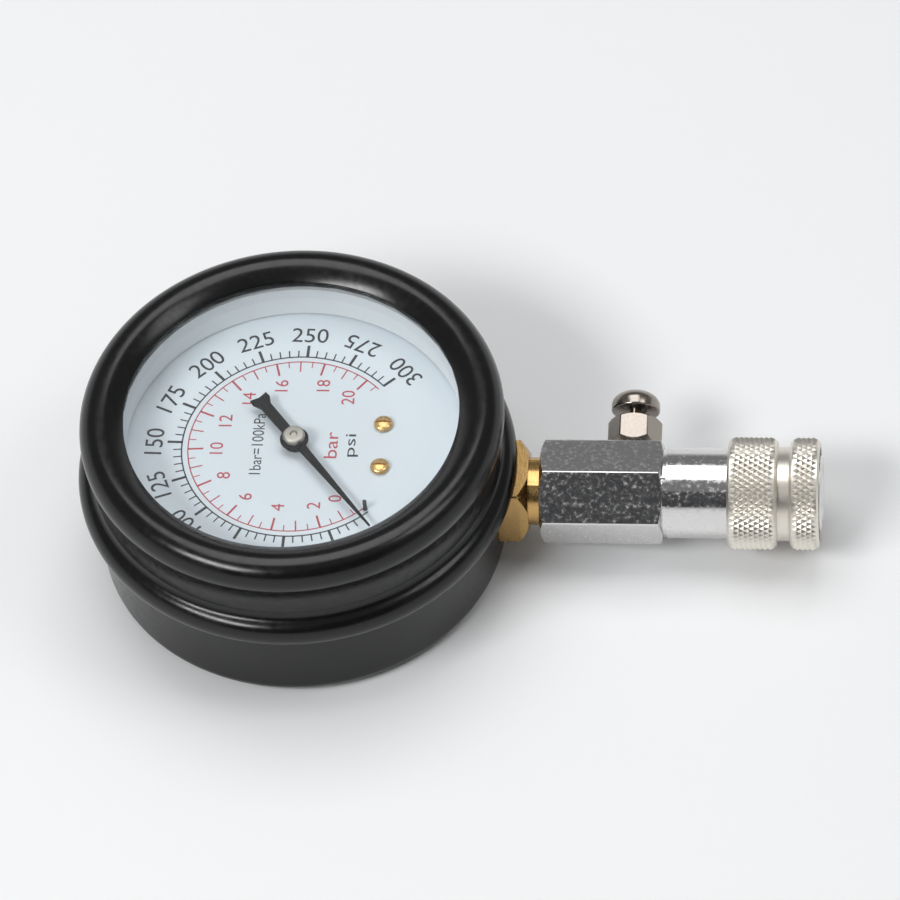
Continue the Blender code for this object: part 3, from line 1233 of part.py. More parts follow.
def build_sleeve():
    """The sliding sleeve with its groove, the balls that it locks, its spring and its ring."""
    joint = empty_at("sleeve_pull_axis", STEM_FRAME)
    edge = SLEEVE_EDGE
    land_end = BALL_POSITION + SLEEVE_LAND_PAST_BALL
    relief = SLEEVE_BORE + SLEEVE_RELIEF
    lip_end = SLEEVE_LIP_START + SLEEVE_LIP_WIDTH
    profile = [
        (SLEEVE_MOUTH_RADIUS, SLEEVE_END),
        (SLEEVE_RADIUS - edge, SLEEVE_END),
        (SLEEVE_RADIUS, SLEEVE_END - edge),
        (SLEEVE_RADIUS, SLEEVE_GROOVE_END + edge),
        (SLEEVE_RADIUS - edge, SLEEVE_GROOVE_END),
        (SLEEVE_GROOVE_RADIUS, SLEEVE_GROOVE_END),
        (SLEEVE_GROOVE_RADIUS, SLEEVE_GROOVE_START),
        (SLEEVE_RADIUS - edge, SLEEVE_GROOVE_START),
        (SLEEVE_RADIUS, SLEEVE_GROOVE_START - edge),
        (SLEEVE_RADIUS, SLEEVE_START + edge),
        (SLEEVE_RADIUS - edge, SLEEVE_START),
        (SLEEVE_SKIRT_BORE, SLEEVE_START),
        (SLEEVE_SKIRT_BORE, SLEEVE_LAND_START),
        (SLEEVE_BORE, SLEEVE_LAND_START),
        (SLEEVE_BORE, land_end),
        (relief, land_end + SLEEVE_RAMP_LENGTH),
        (relief, SLEEVE_LIP_START),
        (SLEEVE_BORE, SLEEVE_LIP_START),
        (SLEEVE_BORE, lip_end),
        (SLEEVE_MOUTH_RADIUS, lip_end),
    ]
    hang(turned("coupler_sleeve", profile, STEM_FRAME, "satin_nickel", COUPLER_STEPS, ring=True), joint)
    for i in range(BALL_COUNT):
        mesh = bpy.data.meshes.new(f"locking_ball_{i + 1}")
        cage = bmesh.new()
        bmesh.ops.create_uvsphere(cage, u_segments=10, v_segments=6, radius=BALL_RADIUS)
        cage.to_mesh(mesh)
        cage.free()
        lift = ball_frame(i) @ Matrix.Translation((0, 0, BALL_ORBIT))
        add_object(f"locking_ball_{i + 1}", mesh, lift, "bright_steel")
    start = COUPLER_SHOULDER + FIT_GAP + SLEEVE_SPRING_WIRE / 2
    end = SLEEVE_LAND_START - FIT_GAP - SLEEVE_SPRING_WIRE / 2
    mean = (NOSE_RADIUS + SLEEVE_SKIRT_BORE) / 2
    coils = coil_path(mean, start, end, SLEEVE_SPRING_TURNS)
    wire("sleeve_spring", coils, SLEEVE_SPRING_WIRE / 2, STEM_FRAME, "bright_steel")
    ring_inner = NOSE_RADIUS - SNAP_GROOVE_DEPTH + PIVOT_GAP
    ring_end = SNAP_RING_START + SNAP_RING_WIDTH
    ring = collar(
        "snap_ring", ring_inner, SNAP_RING_RADIUS, SNAP_RING_START, ring_end, STEM_FRAME, "bright_steel"
    )
    split = box_between(
        "snap_ring_split",
        (SNAP_RING_START - RUN_PAST, -SNAP_RING_SPLIT / 2, STEM_HEIGHT - SNAP_RING_RADIUS - RUN_PAST),
        (ring_end + RUN_PAST, SNAP_RING_SPLIT / 2, STEM_HEIGHT - ring_inner / 2),
    )
    cut(ring, split)


def build_valve():
    """The release valve: housing, button on its stem, spring, poppet and seal."""
    joint = empty_at("release_press_axis", VALVE_FRAME)
    corner = VALVE_FLATS / 2 / cos(pi / 6)
    seat = HEX_FACE + FIT_GAP
    low = HEX_FACE + VALVE_BASE_HEIGHT
    top = HEX_FACE + VALVE_HEX_TOP
    blank_profile = [
        (0, top),
        (VALVE_FLATS / 2, top),
        (corner, top - VALVE_EDGE),
        (corner, low),
        (VALVE_BASE_RADIUS, seat),
        (0, seat),
    ]
    housing = turned("release_housing", blank_profile, VALVE_FRAME, "chrome", 36)
    flats_low = seat - RUN_PAST
    flats = prism("valve_hexagon", 6, VALVE_FLATS, flats_low, top + RUN_PAST, VALVE_FRAME, None, 90)
    cut(housing, flats, "INTERSECT")
    shank_end = HEX_FACE - VALVE_SHANK_LENGTH
    shank_top = seat + RUN_PAST
    shank = disc("valve_shank", VALVE_SHANK_RADIUS, shank_end, shank_top, VALVE_FRAME, None, 24)
    cut(housing, shank, "UNION")
    pocket_floor = top - VALVE_POCKET_DEPTH
    stem_hole = BUTTON_STEM + FIT_GAP
    bore_profile = [
        (0, top + RUN_PAST),
        (VALVE_SPRING_POCKET, top + RUN_PAST),
        (VALVE_SPRING_POCKET, pocket_floor),
        (stem_hole, pocket_floor),
        (stem_hole, shank_end - RUN_PAST),
        (0, shank_end - RUN_PAST),
    ]
    cut(housing, turned("valve_stem_bore", bore_profile, VALVE_FRAME, None, 24))
    underside = HEX_FACE + BUTTON_UNDERSIDE
    rim = HEX_FACE + BUTTON_RIM
    crown = HEX_FACE + BUTTON_TOP
    dome_height = BUTTON_TOP - BUTTON_RIM
    poppet_top = shank_end - FIT_GAP - VALVE_SEAL_THICKNESS - PIVOT_GAP
    poppet_bottom = poppet_top - POPPET_THICKNESS
    dome = [radians(angle) for angle in range(15, 90, 15)]
    profile = [(0, crown)]
    profile += [(BUTTON_RADIUS * sin(a), rim + dome_height * cos(a)) for a in dome]
    profile += [
        (BUTTON_RADIUS, rim),
        (BUTTON_RADIUS, underside + BUTTON_EDGE),
        (BUTTON_RADIUS - BUTTON_EDGE, underside),
        (BUTTON_STEM, underside),
        (BUTTON_STEM, poppet_bottom),
        (0, poppet_bottom),
    ]
    hang(turned("release_button", profile, VALVE_FRAME, "chrome", ROUND), joint)
    hole = BUTTON_STEM + PIVOT_GAP
    poppet = collar(
        "release_poppet", hole, POPPET_RADIUS, poppet_bottom, poppet_top, VALVE_FRAME, "brass", 24
    )
    hang(poppet, joint)
    seal_bottom = poppet_top + PIVOT_GAP
    seal_top = seal_bottom + VALVE_SEAL_THICKNESS
    seal = collar("release_seal", hole, POPPET_RADIUS, seal_bottom, seal_top, VALVE_FRAME, "nitrile", 24)
    hang(seal, joint)
    spring_low = pocket_floor + FIT_GAP + VALVE_SPRING_WIRE / 2
    spring_high = underside - FIT_GAP - VALVE_SPRING_WIRE / 2
    mean = (BUTTON_STEM + FIT_GAP + VALVE_SPRING_POCKET) / 2
    coils = coil_path(mean, spring_low, spring_high, VALVE_SPRING_TURNS)
    wire("release_spring", coils, VALVE_SPRING_WIRE / 2, VALVE_FRAME, "bright_steel")


def main():
    """Build every piece of the gauge."""
    clear_scene()
    new_collection(COLLECTION_NAME)
    new_collection(CUTTER_COLLECTION_NAME)
    build_boot()
    build_case()
    build_glazing()
    build_socket()
    tip_joint = build_tube()
    build_sector()
    build_link(tip_joint)
    build_plates()
    build_pointer()
    build_coupler()
    build_sleeve()
    build_valve()
    bpy.context.view_layer.update()


main()
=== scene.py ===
"""The look of the compression tester gauge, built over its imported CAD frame.

Lengths are in millimetres until a piece is finished, and Solid.publish turns them into metres. The gauge
lies on its back with the dial up (+Z), the dial's axis at the origin and the stem towards +X. The dial is
read from the side of -X, so that its letters stand up towards -X.
"""

import json
import logging
from collections.abc import Iterable
from dataclasses import dataclass, field
from enum import Enum
from math import acos, atan2, cos, degrees, dist, pi, radians, sin, sqrt, tan

import bmesh
import bpy
from bmesh.types import BMesh
from bpy.types import ID, Material, Mesh, Node, NodeSocket, NodeTree, Object
from mathutils import Matrix, Vector


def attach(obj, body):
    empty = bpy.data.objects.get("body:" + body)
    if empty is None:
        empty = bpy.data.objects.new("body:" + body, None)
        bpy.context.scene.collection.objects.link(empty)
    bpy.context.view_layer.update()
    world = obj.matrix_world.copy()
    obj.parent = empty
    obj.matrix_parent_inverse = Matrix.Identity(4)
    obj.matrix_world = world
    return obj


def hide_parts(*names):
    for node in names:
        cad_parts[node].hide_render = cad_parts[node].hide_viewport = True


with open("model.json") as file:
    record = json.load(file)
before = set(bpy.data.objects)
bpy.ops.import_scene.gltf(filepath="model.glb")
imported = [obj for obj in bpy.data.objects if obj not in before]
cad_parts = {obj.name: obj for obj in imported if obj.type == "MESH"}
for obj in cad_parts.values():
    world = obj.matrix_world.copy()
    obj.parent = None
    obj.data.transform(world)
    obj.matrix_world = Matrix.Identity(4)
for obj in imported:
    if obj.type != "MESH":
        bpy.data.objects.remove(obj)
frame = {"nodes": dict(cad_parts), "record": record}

log = logging.getLogger("gauge")
MM = 0.001
PAST = 1.0  # how far, in millimetres, a tool runs past what it cuts, or a blank into what it joins
SAME = 0.0005  # vertices nearer to each other than this, in millimetres, are merged
APART = 0.0001  # points of a section nearer than this, in millimetres, are one
NOISE_BAND = (0.3, 0.7)  # nearly all of the noise's values lie between these two
EVERY = 1000  # a skip so large that it leaves out only the first mark
Point = tuple[float, float]
Place = tuple[float, float, float]
Term = float | NodeSocket


def hex_to_linear(code: str) -> tuple[float, float, float, float]:
    """Turn an sRGB hex colour into linear values.

    Args:
        code: The colour, such as "#C9A25A".

    Returns:
        Red, green, blue and an alpha of 1.
    """
    parts = [int(code[i : i + 2], 16) / 255 for i in (1, 3, 5)]
    linear = [c / 12.92 if c <= 0.04045 else ((c + 0.055) / 1.055) ** 2.4 for c in parts]
    return (*linear, 1.0)


def add_node(tree: NodeTree, kind: str, inputs: dict | None = None, **settings: object) -> Node:
    """Add a node to a tree with its settings and its links.

    Args:
        tree: The shader or geometry tree.
        kind: Blender's name for the node.
        inputs: Socket name or number, with a value or with the output that is linked to it.
        **settings: Properties of the node itself.

    Returns:
        The new node.
    """
    node = tree.nodes.new(kind)
    for name, value in settings.items():
        setattr(node, name, value)
    for key, value in (inputs or {}).items():
        if isinstance(value, NodeSocket):
            tree.links.new(value, node.inputs[key])
        else:
            node.inputs[key].default_value = value
    return node


def maths(tree: NodeTree, operation: str, *terms: Term) -> NodeSocket:
    """Work out one value from others in a tree.

    Args:
        tree: The shader or geometry tree.
        operation: Blender's name for the operation.
        *terms: Its terms, each a number or an output.

    Returns:
        The result.
    """
    return add_node(tree, "ShaderNodeMath", dict(enumerate(terms)), operation=operation).outputs[0]


def remap(
    tree: NodeTree,
    value: NodeSocket,
    start: float,
    end: float,
    low: float = 0.0,
    high: float = 1.0,
    **settings: object,
) -> NodeSocket:
    """Carry a value over from one range to another.

    Args:
        tree: The shader tree.
        value: The value.
        start: The value that becomes low.
        end: The value that becomes high.
        low: The first end of the new range.
        high: Its other end.
        **settings: Properties of the node itself.

    Returns:
        The new value.
    """
    given = {"Value": value, "From Min": start, "From Max": end, "To Min": low, "To Max": high}
    return add_node(tree, "ShaderNodeMapRange", given, **settings).outputs[0]


def shaded(name: str, colour: str, given: dict[str, float]) -> tuple[Material, Node]:
    """Start a material with one Principled shader.

    Args:
        name: The material's name.
        colour: The sRGB hex colour.
        given: The shader's other values.

    Returns:
        The material and its shader.
    """
    made = bpy.data.materials.new(name)
    made.use_nodes = True
    shader = made.node_tree.nodes["Principled BSDF"]
    for label, value in {"Base Color": hex_to_linear(colour), **given}.items():
        shader.inputs[label].default_value = value
    return made, shader


class Lay(Enum):
    """How the marks of a surface run: how many times finer its cells are along X, Y and Z."""

    EVEN = (1.0, 1.0, 1.0)
    ROUND_STEM = (9.0, 1.0, 1.0)


@dataclass(frozen=True)
class Wear:
    """Dull marks that add to the roughness where they lie.

    Attributes:
        size: The size of the marks' cells, in millimetres.
        start: The level of the noise at which a mark begins.
        full: The level at which it is full.
        strength: The roughness that it adds there.
        detail: How many finer octaves the noise has.
        grit: How strong those octaves are.
    """

    size: float
    start: float
    full: float
    strength: float
    detail: float = 4.0
    grit: float = 0.5

    def spread(self, tree: NodeTree, place: NodeSocket) -> NodeSocket:
        """Scatter the marks.

        Args:
            tree: The material's tree.
            place: The object's own coordinates.

        Returns:
            What they add to the roughness.
        """
        octaves = {"Detail": self.detail, "Roughness": self.grit}
        cells = {"Vector": place, "Scale": 1 / (self.size * MM), **octaves}
        noise = add_node(tree, "ShaderNodeTexNoise", cells).outputs[0]
        return remap(tree, noise, self.start, self.full, 0.0, self.strength)


@dataclass(frozen=True)
class Finish:
    """A surface as it was made.

    Attributes:
        name: The material's common name and how its surface was made.
        colour: The sRGB hex colour.
        roughness: The mean roughness.
        slot: The record's material slot.
        metallic: 1 for bare metal.
        ior: The index of refraction, left at the default for metal.
        grain: The size of the surface's cells, in millimetres.
        lay: How those cells run.
        relief: The height of those cells, in millimetres.
        wander: How far the roughness strays from its mean.
        wear: Its dull marks.
    """

    name: str
    colour: str
    roughness: float
    slot: str | None = None
    metallic: float = 0.0
    ior: float = 1.5
    grain: float = 0.6
    lay: Lay = Lay.EVEN
    relief: float = 0.0
    wander: float = 0.0
    wear: tuple[Wear, ...] = ()

    def material(self) -> Material:
        """Build the material once.

        Returns:
            The material of this finish.
        """
        found = bpy.data.materials.get(self.name)
        if found:
            return found
        given = {"Metallic": self.metallic, "Roughness": self.roughness, "IOR": self.ior}
        made, shader = shaded(self.name, self.colour, given)
        if self.wander or self.relief:
            self.roughen(made.node_tree, shader)
        return made

    def roughen(self, tree: NodeTree, shader: Node) -> None:
        """Add the cells that vary the roughness and raise the surface.

        Args:
            tree: The material's tree.
            shader: Its Principled shader.
        """
        scale = [times / (self.grain * MM) for times in self.lay.value]
        place = add_node(tree, "ShaderNodeTexCoord").outputs["Object"]
        cells = add_node(tree, "ShaderNodeMapping", {"Vector": place, "Scale": scale})
        cells = {"Vector": cells.outputs[0], "Scale": 1.0, "Detail": 3.0}
        noise = add_node(tree, "ShaderNodeTexNoise", cells)
        if self.wander:
            low, high = self.roughness - self.wander, self.roughness + self.wander
            roughness = remap(tree, noise.outputs[0], *NOISE_BAND, low, high)
            for marks in self.wear:
                roughness = maths(tree, "ADD", roughness, marks.spread(tree, place))
            tree.links.new(roughness, shader.inputs["Roughness"])
        if self.relief:
            raised = {"Height": noise.outputs[0], "Distance": self.relief * MM, "Strength": 1.0}
            bump = add_node(tree, "ShaderNodeBump", raised)
            tree.links.new(bump.outputs[0], shader.inputs["Normal"])


@dataclass(frozen=True)
class ClearSheet:
    """Clear cast acrylic, polished: it shows a faint reflection and lets the light through to the dial."""

    name: str = "clear_acrylic_polished"
    colour: str = "#F7FAFB"
    roughness: float = 0.02
    ior: float = 1.49
    slot: str = "clear_plastic"

    def material(self) -> Material:
        """Build the material, which is open to shadow and diffuse rays, so that the dial stays lit.

        Returns:
            The window's material.
        """
        given = {"Roughness": self.roughness, "IOR": self.ior, "Transmission Weight": 1.0}
        made, shader = shaded(self.name, self.colour, given)
        tree = made.node_tree
        rays = add_node(tree, "ShaderNodeLightPath").outputs
        lit = maths(tree, "MAXIMUM", rays["Is Shadow Ray"], rays["Is Diffuse Ray"])
        tree.links.new(maths(tree, "SUBTRACT", 1.0, lit), shader.inputs["Alpha"])
        return made


# Moulded nitrile-blend rubber: deep black, with clean highlights along its beads
BOOT_RUBBER = Finish(
    "black_rubber_moulded", "#0E0E0F", 0.22, "rubber", ior=1.45, grain=1.4, relief=0.003, wander=0.05
)
# Sheet steel with bright zinc: grey, with soft reflections
ZINC_SHEET = Finish("zinc_plated_sheet_steel", "#A9ACB0", 0.38, "sheet_steel", 1.0, grain=1.5, wander=0.06)
# Steel with baked black paint
BLACK_PAINT = Finish("black_painted_steel", "#141415", 0.38, "black_steel", grain=0.5, wander=0.05)
CLEAR_WINDOW = ClearSheet()
# Moulded ABS, off-white and even
PALE_ABS = Finish("pale_abs_moulded", "#EDF1F3", 0.5, "white_plastic", grain=0.8, relief=0.004, wander=0.05)
# Baked enamel on aluminium sheet: a cool white, nearly matt
DIAL_ENAMEL = Finish(
    "dial_enamel_baked", "#DCE4EA", 0.5, "white_enamel", grain=0.4, relief=0.002, wander=0.05
)
# Screen-printed ink lies on the enamel in a thin matt film
BLACK_INK = Finish("black_ink_screen_printed", "#22252B", 0.6, "black_enamel")
RED_INK = Finish("red_ink_screen_printed", "#B5454F", 0.6)
# Machined brass: yellow, with turning marks round the stem
BRASS = Finish(
    "brass_machined", "#C6A168", 0.24, "brass", 1.0, grain=1.6, lay=Lay.ROUND_STEM, relief=0.0015, wander=0.06
)
# Drawn phosphor bronze: redder than brass, and drawn smooth
BRONZE = Finish("phosphor_bronze_drawn", "#B9835A", 0.32, "bronze", 1.0, grain=0.8, wander=0.06)
# Matt black enamel on aluminium, with hardly any sheen under the window
POINTER_ENAMEL = Finish("pointer_enamel_matt_black", "#070708", 0.55, "black_enamel", ior=1.2)
# Pits and scuffs, then a wider haze left by handling: both show pale where the chrome reflects the dark
WORN = (Wear(0.75, 0.46, 0.76, 0.22), Wear(3.0, 0.34, 0.72, 0.085, detail=5.0, grit=0.75))
# Bright chrome over a milled bar: a mirror with that wear
CHROME = Finish(
    "bright_chrome_plated", "#DDDCDB", 0.09, "chrome", 1.0, grain=1.2, relief=0.0004, wander=0.04, wear=WORN
)
# Nickel on the small valve, bright but a little worn: warmer and softer than the chrome
WORN_NICKEL = Finish("nickel_plated_worn", "#9A928A", 0.22, "chrome", 1.0, grain=0.6, wander=0.05)
# Nickel over a rolled knurl: warm grey and satin
KNURL_NICKEL = Finish("satin_nickel_knurled", "#E4DFD5", 0.34, "satin_nickel", 1.0, grain=0.3, wander=0.06)
# Turned steel with bright nickel
BRIGHT_STEEL = Finish("bright_steel_turned", "#C4C2BE", 0.22, "bright_steel", 1.0, grain=0.5, wander=0.06)
# The same steel left dull by its tumbling
DULL_STEEL = Finish(
    "steel_tumbled_dull", "#A09A91", 0.33, "bright_steel", 1.0, grain=0.4, relief=0.001, wander=0.07
)
# Moulded nitrile seals
NITRILE = Finish("nitrile_rubber_moulded", "#1D1D1E", 0.55, "nitrile", grain=0.4, relief=0.004, wander=0.05)

SLOT_FINISHES = {
    finish.slot: finish
    for finish in (
        *(BOOT_RUBBER, ZINC_SHEET, BLACK_PAINT, PALE_ABS, DIAL_ENAMEL, BRASS),
        *(BRONZE, POINTER_ENAMEL, CHROME, KNURL_NICKEL, BRIGHT_STEEL, NITRILE),
    )
}


def on_circle(radius: float, angle: float) -> Vector:
    """A point of the plane at a radius and an angle in degrees."""
    return Vector((radius * cos(radians(angle)), radius * sin(radians(angle))))


def placed(spot: Iterable[float], angle: float = 0.0, axis: str = "Z") -> Matrix:
    """A frame.

    Args:
        spot: Its origin.
        angle: Its turn, in degrees.
        axis: The axis that it is turned about.

    Returns:
        The matrix that brings a piece there.
    """
    return Matrix.Translation(spot) @ Matrix.Rotation(radians(angle), 4, axis)


def arc(centre: Point, radius: float, start: float, end: float, steps: int = 16) -> list[Point]:
    """Points along an arc.

    Args:
        centre: The arc's centre.
        radius: Its radius.
        start: The first angle in degrees.
        end: The last angle in degrees.
        steps: The number of stretches.

    Returns:
        The points, one more than the stretches.
    """
    turn = [start + (end - start) * i / steps for i in range(steps + 1)]
    return [tuple(Vector(centre) + on_circle(radius, angle)) for angle in turn]


def circle(centre: Point, radius: float, steps: int = 64) -> list[Point]:
    """Points round a circle."""
    return arc(centre, radius, 0, 360 - 360 / steps, steps - 1)


def stepped(top: float, *steps: Point) -> list[Point]:
    """The section of a turned rod or bore.

    Args:
        top: The height of its top.
        *steps: The radius of each step and the height at which it ends, from the top down.

    Returns:
        The points, from the axis at the top to the axis at the bottom.
    """
    points = [(0, top)]
    for radius, end in steps:
        points += [(radius, points[-1][1]), (radius, end)]
    return [*points, (0, points[-1][1])]


def walls(*spans: Place) -> list[Point]:
    """The straight walls of a section.

    Args:
        *spans: The radius of each wall, and the heights at which it starts and ends.

    Returns:
        The points, two for each wall.
    """
    return [(radius, height) for radius, *ends in spans for height in ends]


def evaluated_mesh(holder: Object) -> Mesh:
    """Turn an object with its modifiers into a plain mesh, and remove the object."""
    graph = bpy.context.evaluated_depsgraph_get()
    mesh = bpy.data.meshes.new_from_object(holder.evaluated_get(graph))
    bpy.data.objects.remove(holder, do_unlink=True)
    return mesh


def linked(name: str, data: ID) -> Object:
    """Link a new object for a mesh or a curve to the scene."""
    made = bpy.data.objects.new(name, data)
    bpy.context.scene.collection.objects.link(made)
    return made


class Solid:
    """A closed mesh in millimetres that is cut and joined before it becomes a piece."""

    def __init__(self, mesh: Mesh) -> None:
        """Hold a mesh."""
        self.mesh = mesh

    @classmethod
    def lathe(cls, profile: list[Point], steps: int = 160, ring: bool = False) -> "Solid":
        """Turn a profile about Z.

        Args:
            profile: Points of (radius, height), down the outer side.
            steps: The number of faces round the axis.
            ring: Whether the profile closes on itself.

        Returns:
            The turned solid.
        """
        cage = bmesh.new()
        rows = []
        before = [profile[-1] if ring else None, *profile]
        kept = [p for p, last in zip(profile, before) if last is None or dist(p, last) > APART]
        for radius, height in kept:
            count = 1 if radius == 0 else steps
            spots = [on_circle(radius, 360 * i / steps) for i in range(count)]
            rows.append([cage.verts.new((*spot, height)) for spot in spots])
        pairs = list(zip(rows, rows[1:]))
        if ring:
            pairs.append((rows[-1], rows[0]))
        for upper, lower in pairs:
            for i in range(steps):
                j = (i + 1) % steps
                down = [upper[i % len(upper)], lower[i % len(lower)]]
                up = [lower[j % len(lower)], upper[j % len(upper)]]
                cage.faces.new(list(dict.fromkeys(down + up)))
        bmesh.ops.recalc_face_normals(cage, faces=cage.faces)
        return cls.from_cage(cage)

    @classmethod
    def block(cls, low: Iterable[float], high: Iterable[float]) -> "Solid":
        """A box from its low and high corners."""
        cage = bmesh.new()
        bmesh.ops.create_cube(cage, size=1.0)
        corners = list(zip(low, high))
        size = [b - a for a, b in corners]
        middle = placed([(a + b) / 2 for a, b in corners])
        bmesh.ops.transform(cage, matrix=middle @ Matrix.Diagonal((*size, 1)), verts=cage.verts)
        return cls.from_cage(cage)

    @classmethod
    def prism(cls, sides: int, flats: float, bottom: float, top: float, edge: float) -> "Solid":
        """A regular prism whose first flat faces +Y, with its long edges rounded.

        Args:
            sides: The number of flats.
            flats: The size across them.
            bottom: The lower height.
            top: The upper height.
            edge: The radius of the long edges.

        Returns:
            The prism.
        """
        cage = bmesh.new()
        across = flats / 2 / cos(pi / sides)
        bmesh.ops.create_cone(
            cage, cap_ends=True, segments=sides, radius1=across, radius2=across, depth=top - bottom
        )
        place = placed((0, 0, (bottom + top) / 2), 180 / sides)
        bmesh.ops.transform(cage, matrix=place, verts=cage.verts)
        long_edges = [e for e in cage.edges if abs(e.verts[0].co.z - e.verts[1].co.z) > (top - bottom) / 2]
        bmesh.ops.bevel(cage, geom=long_edges, offset=edge, segments=4, profile=0.5, affect="EDGES")
        return cls.from_cage(cage)

    @classmethod
    def plate(cls, outlines: list[list[Point]], bottom: float, thickness: float) -> "Solid":
        """A sheet cut to closed outlines.

        Args:
            outlines: The outer outline, then its holes.
            bottom: The height of the lower face.
            thickness: The sheet's thickness.

        Returns:
            The plate.
        """
        curve = bpy.data.curves.new("plate", "CURVE")
        curve.dimensions = "2D"
        curve.fill_mode = "BOTH"
        curve.extrude = thickness / 2
        for outline in outlines:
            spline = curve.splines.new("POLY")
            spline.points.add(len(outline) - 1)
            for point, (x, y) in zip(spline.points, outline):
                point.co = (x, y, 0, 1)
            spline.use_cyclic_u = True
        made = cls(evaluated_mesh(linked("plate", curve))).merged()
        return made.moved(placed((0, 0, bottom + thickness / 2)))

    @classmethod
    def from_cage(cls, cage: BMesh) -> "Solid":
        """Keep a cage as a mesh, and free it."""
        mesh = bpy.data.meshes.new("solid")
        cage.to_mesh(mesh)
        cage.free()
        return cls(mesh)

    def merged(self) -> "Solid":
        """Merge doubled vertices and turn the faces outwards."""
        cage = bmesh.new()
        cage.from_mesh(self.mesh)
        bmesh.ops.remove_doubles(cage, verts=cage.verts, dist=SAME)
        bmesh.ops.recalc_face_normals(cage, faces=cage.faces)
        cage.to_mesh(self.mesh)
        cage.free()
        return self

    def moved(self, place: Matrix) -> "Solid":
        """Move the mesh."""
        self.mesh.transform(place)
        return self

    def combine(self, other: "Solid", operation: str) -> "Solid":
        """Join, cut or keep what it shares with another solid, by an exact Boolean.

        Args:
            other: The other solid, which is used up.
            operation: UNION, DIFFERENCE or INTERSECT.

        Returns:
            This solid.
        """
        target, tool = linked("target", self.mesh), linked("tool", other.mesh)
        boolean = target.modifiers.new("boolean", "BOOLEAN")
        boolean.operation = operation
        boolean.solver = "EXACT"
        boolean.object = tool
        self.mesh = evaluated_mesh(target)
        bpy.data.objects.remove(tool, do_unlink=True)
        return self

    def joined(self, other: "Solid") -> "Solid":
        """Join another solid to this one."""
        return self.combine(other, "UNION")

    def less(self, other: "Solid") -> "Solid":
        """Cut another solid out of this one."""
        return self.combine(other, "DIFFERENCE")

    def within(self, other: "Solid") -> "Solid":
        """Keep only what lies in another solid too."""
        return self.combine(other, "INTERSECT")

    def softened(self, width: float, angle: float = 40) -> "Solid":
        """Round the edges that are sharper than an angle.

        Args:
            width: The width of the rounding, which has two faces across it.
            angle: The least angle in degrees.

        Returns:
            This solid.
        """
        holder = linked("softened", self.mesh)
        bevel = holder.modifiers.new("bevel", "BEVEL")
        bevel.width = width
        bevel.segments = 2
        bevel.angle_limit = radians(angle)
        self.mesh = evaluated_mesh(holder)
        return self

    def with_mesh(self, mesh: Mesh) -> "Solid":
        """Add a mesh that overlaps this one, without a Boolean."""
        cage = bmesh.new()
        cage.from_mesh(self.mesh)
        cage.from_mesh(mesh)
        cage.to_mesh(self.mesh)
        cage.free()
        return self

    def publish(
        self,
        name: str,
        finish: Finish | ClearSheet,
        body: str = "gauge",
        nodes: tuple[str, ...] = (),
        sharp: float = 30,
    ) -> Object:
        """Make the finished piece: in metres, dressed, and riding on its CAD body.

        Args:
            name: The piece's name.
            finish: Its finish.
            body: The CAD body that it rides on.
            nodes: The CAD nodes that it stands for.
            sharp: Edges sharper than this many degrees stay sharp.

        Returns:
            The piece.
        """
        self.mesh.transform(Matrix.Scale(MM, 4))
        self.mesh.name = name
        self.mesh.materials.clear()
        self.mesh.materials.append(finish.material())
        self.mesh.shade_smooth()
        self.mesh.set_sharp_from_angle(angle=radians(sharp))
        piece = linked(name, self.mesh)
        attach(piece, body)
        if nodes:
            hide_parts(*nodes)
        log.info("%s: %d faces, rides on %s", name, len(self.mesh.polygons), body)
        return piece


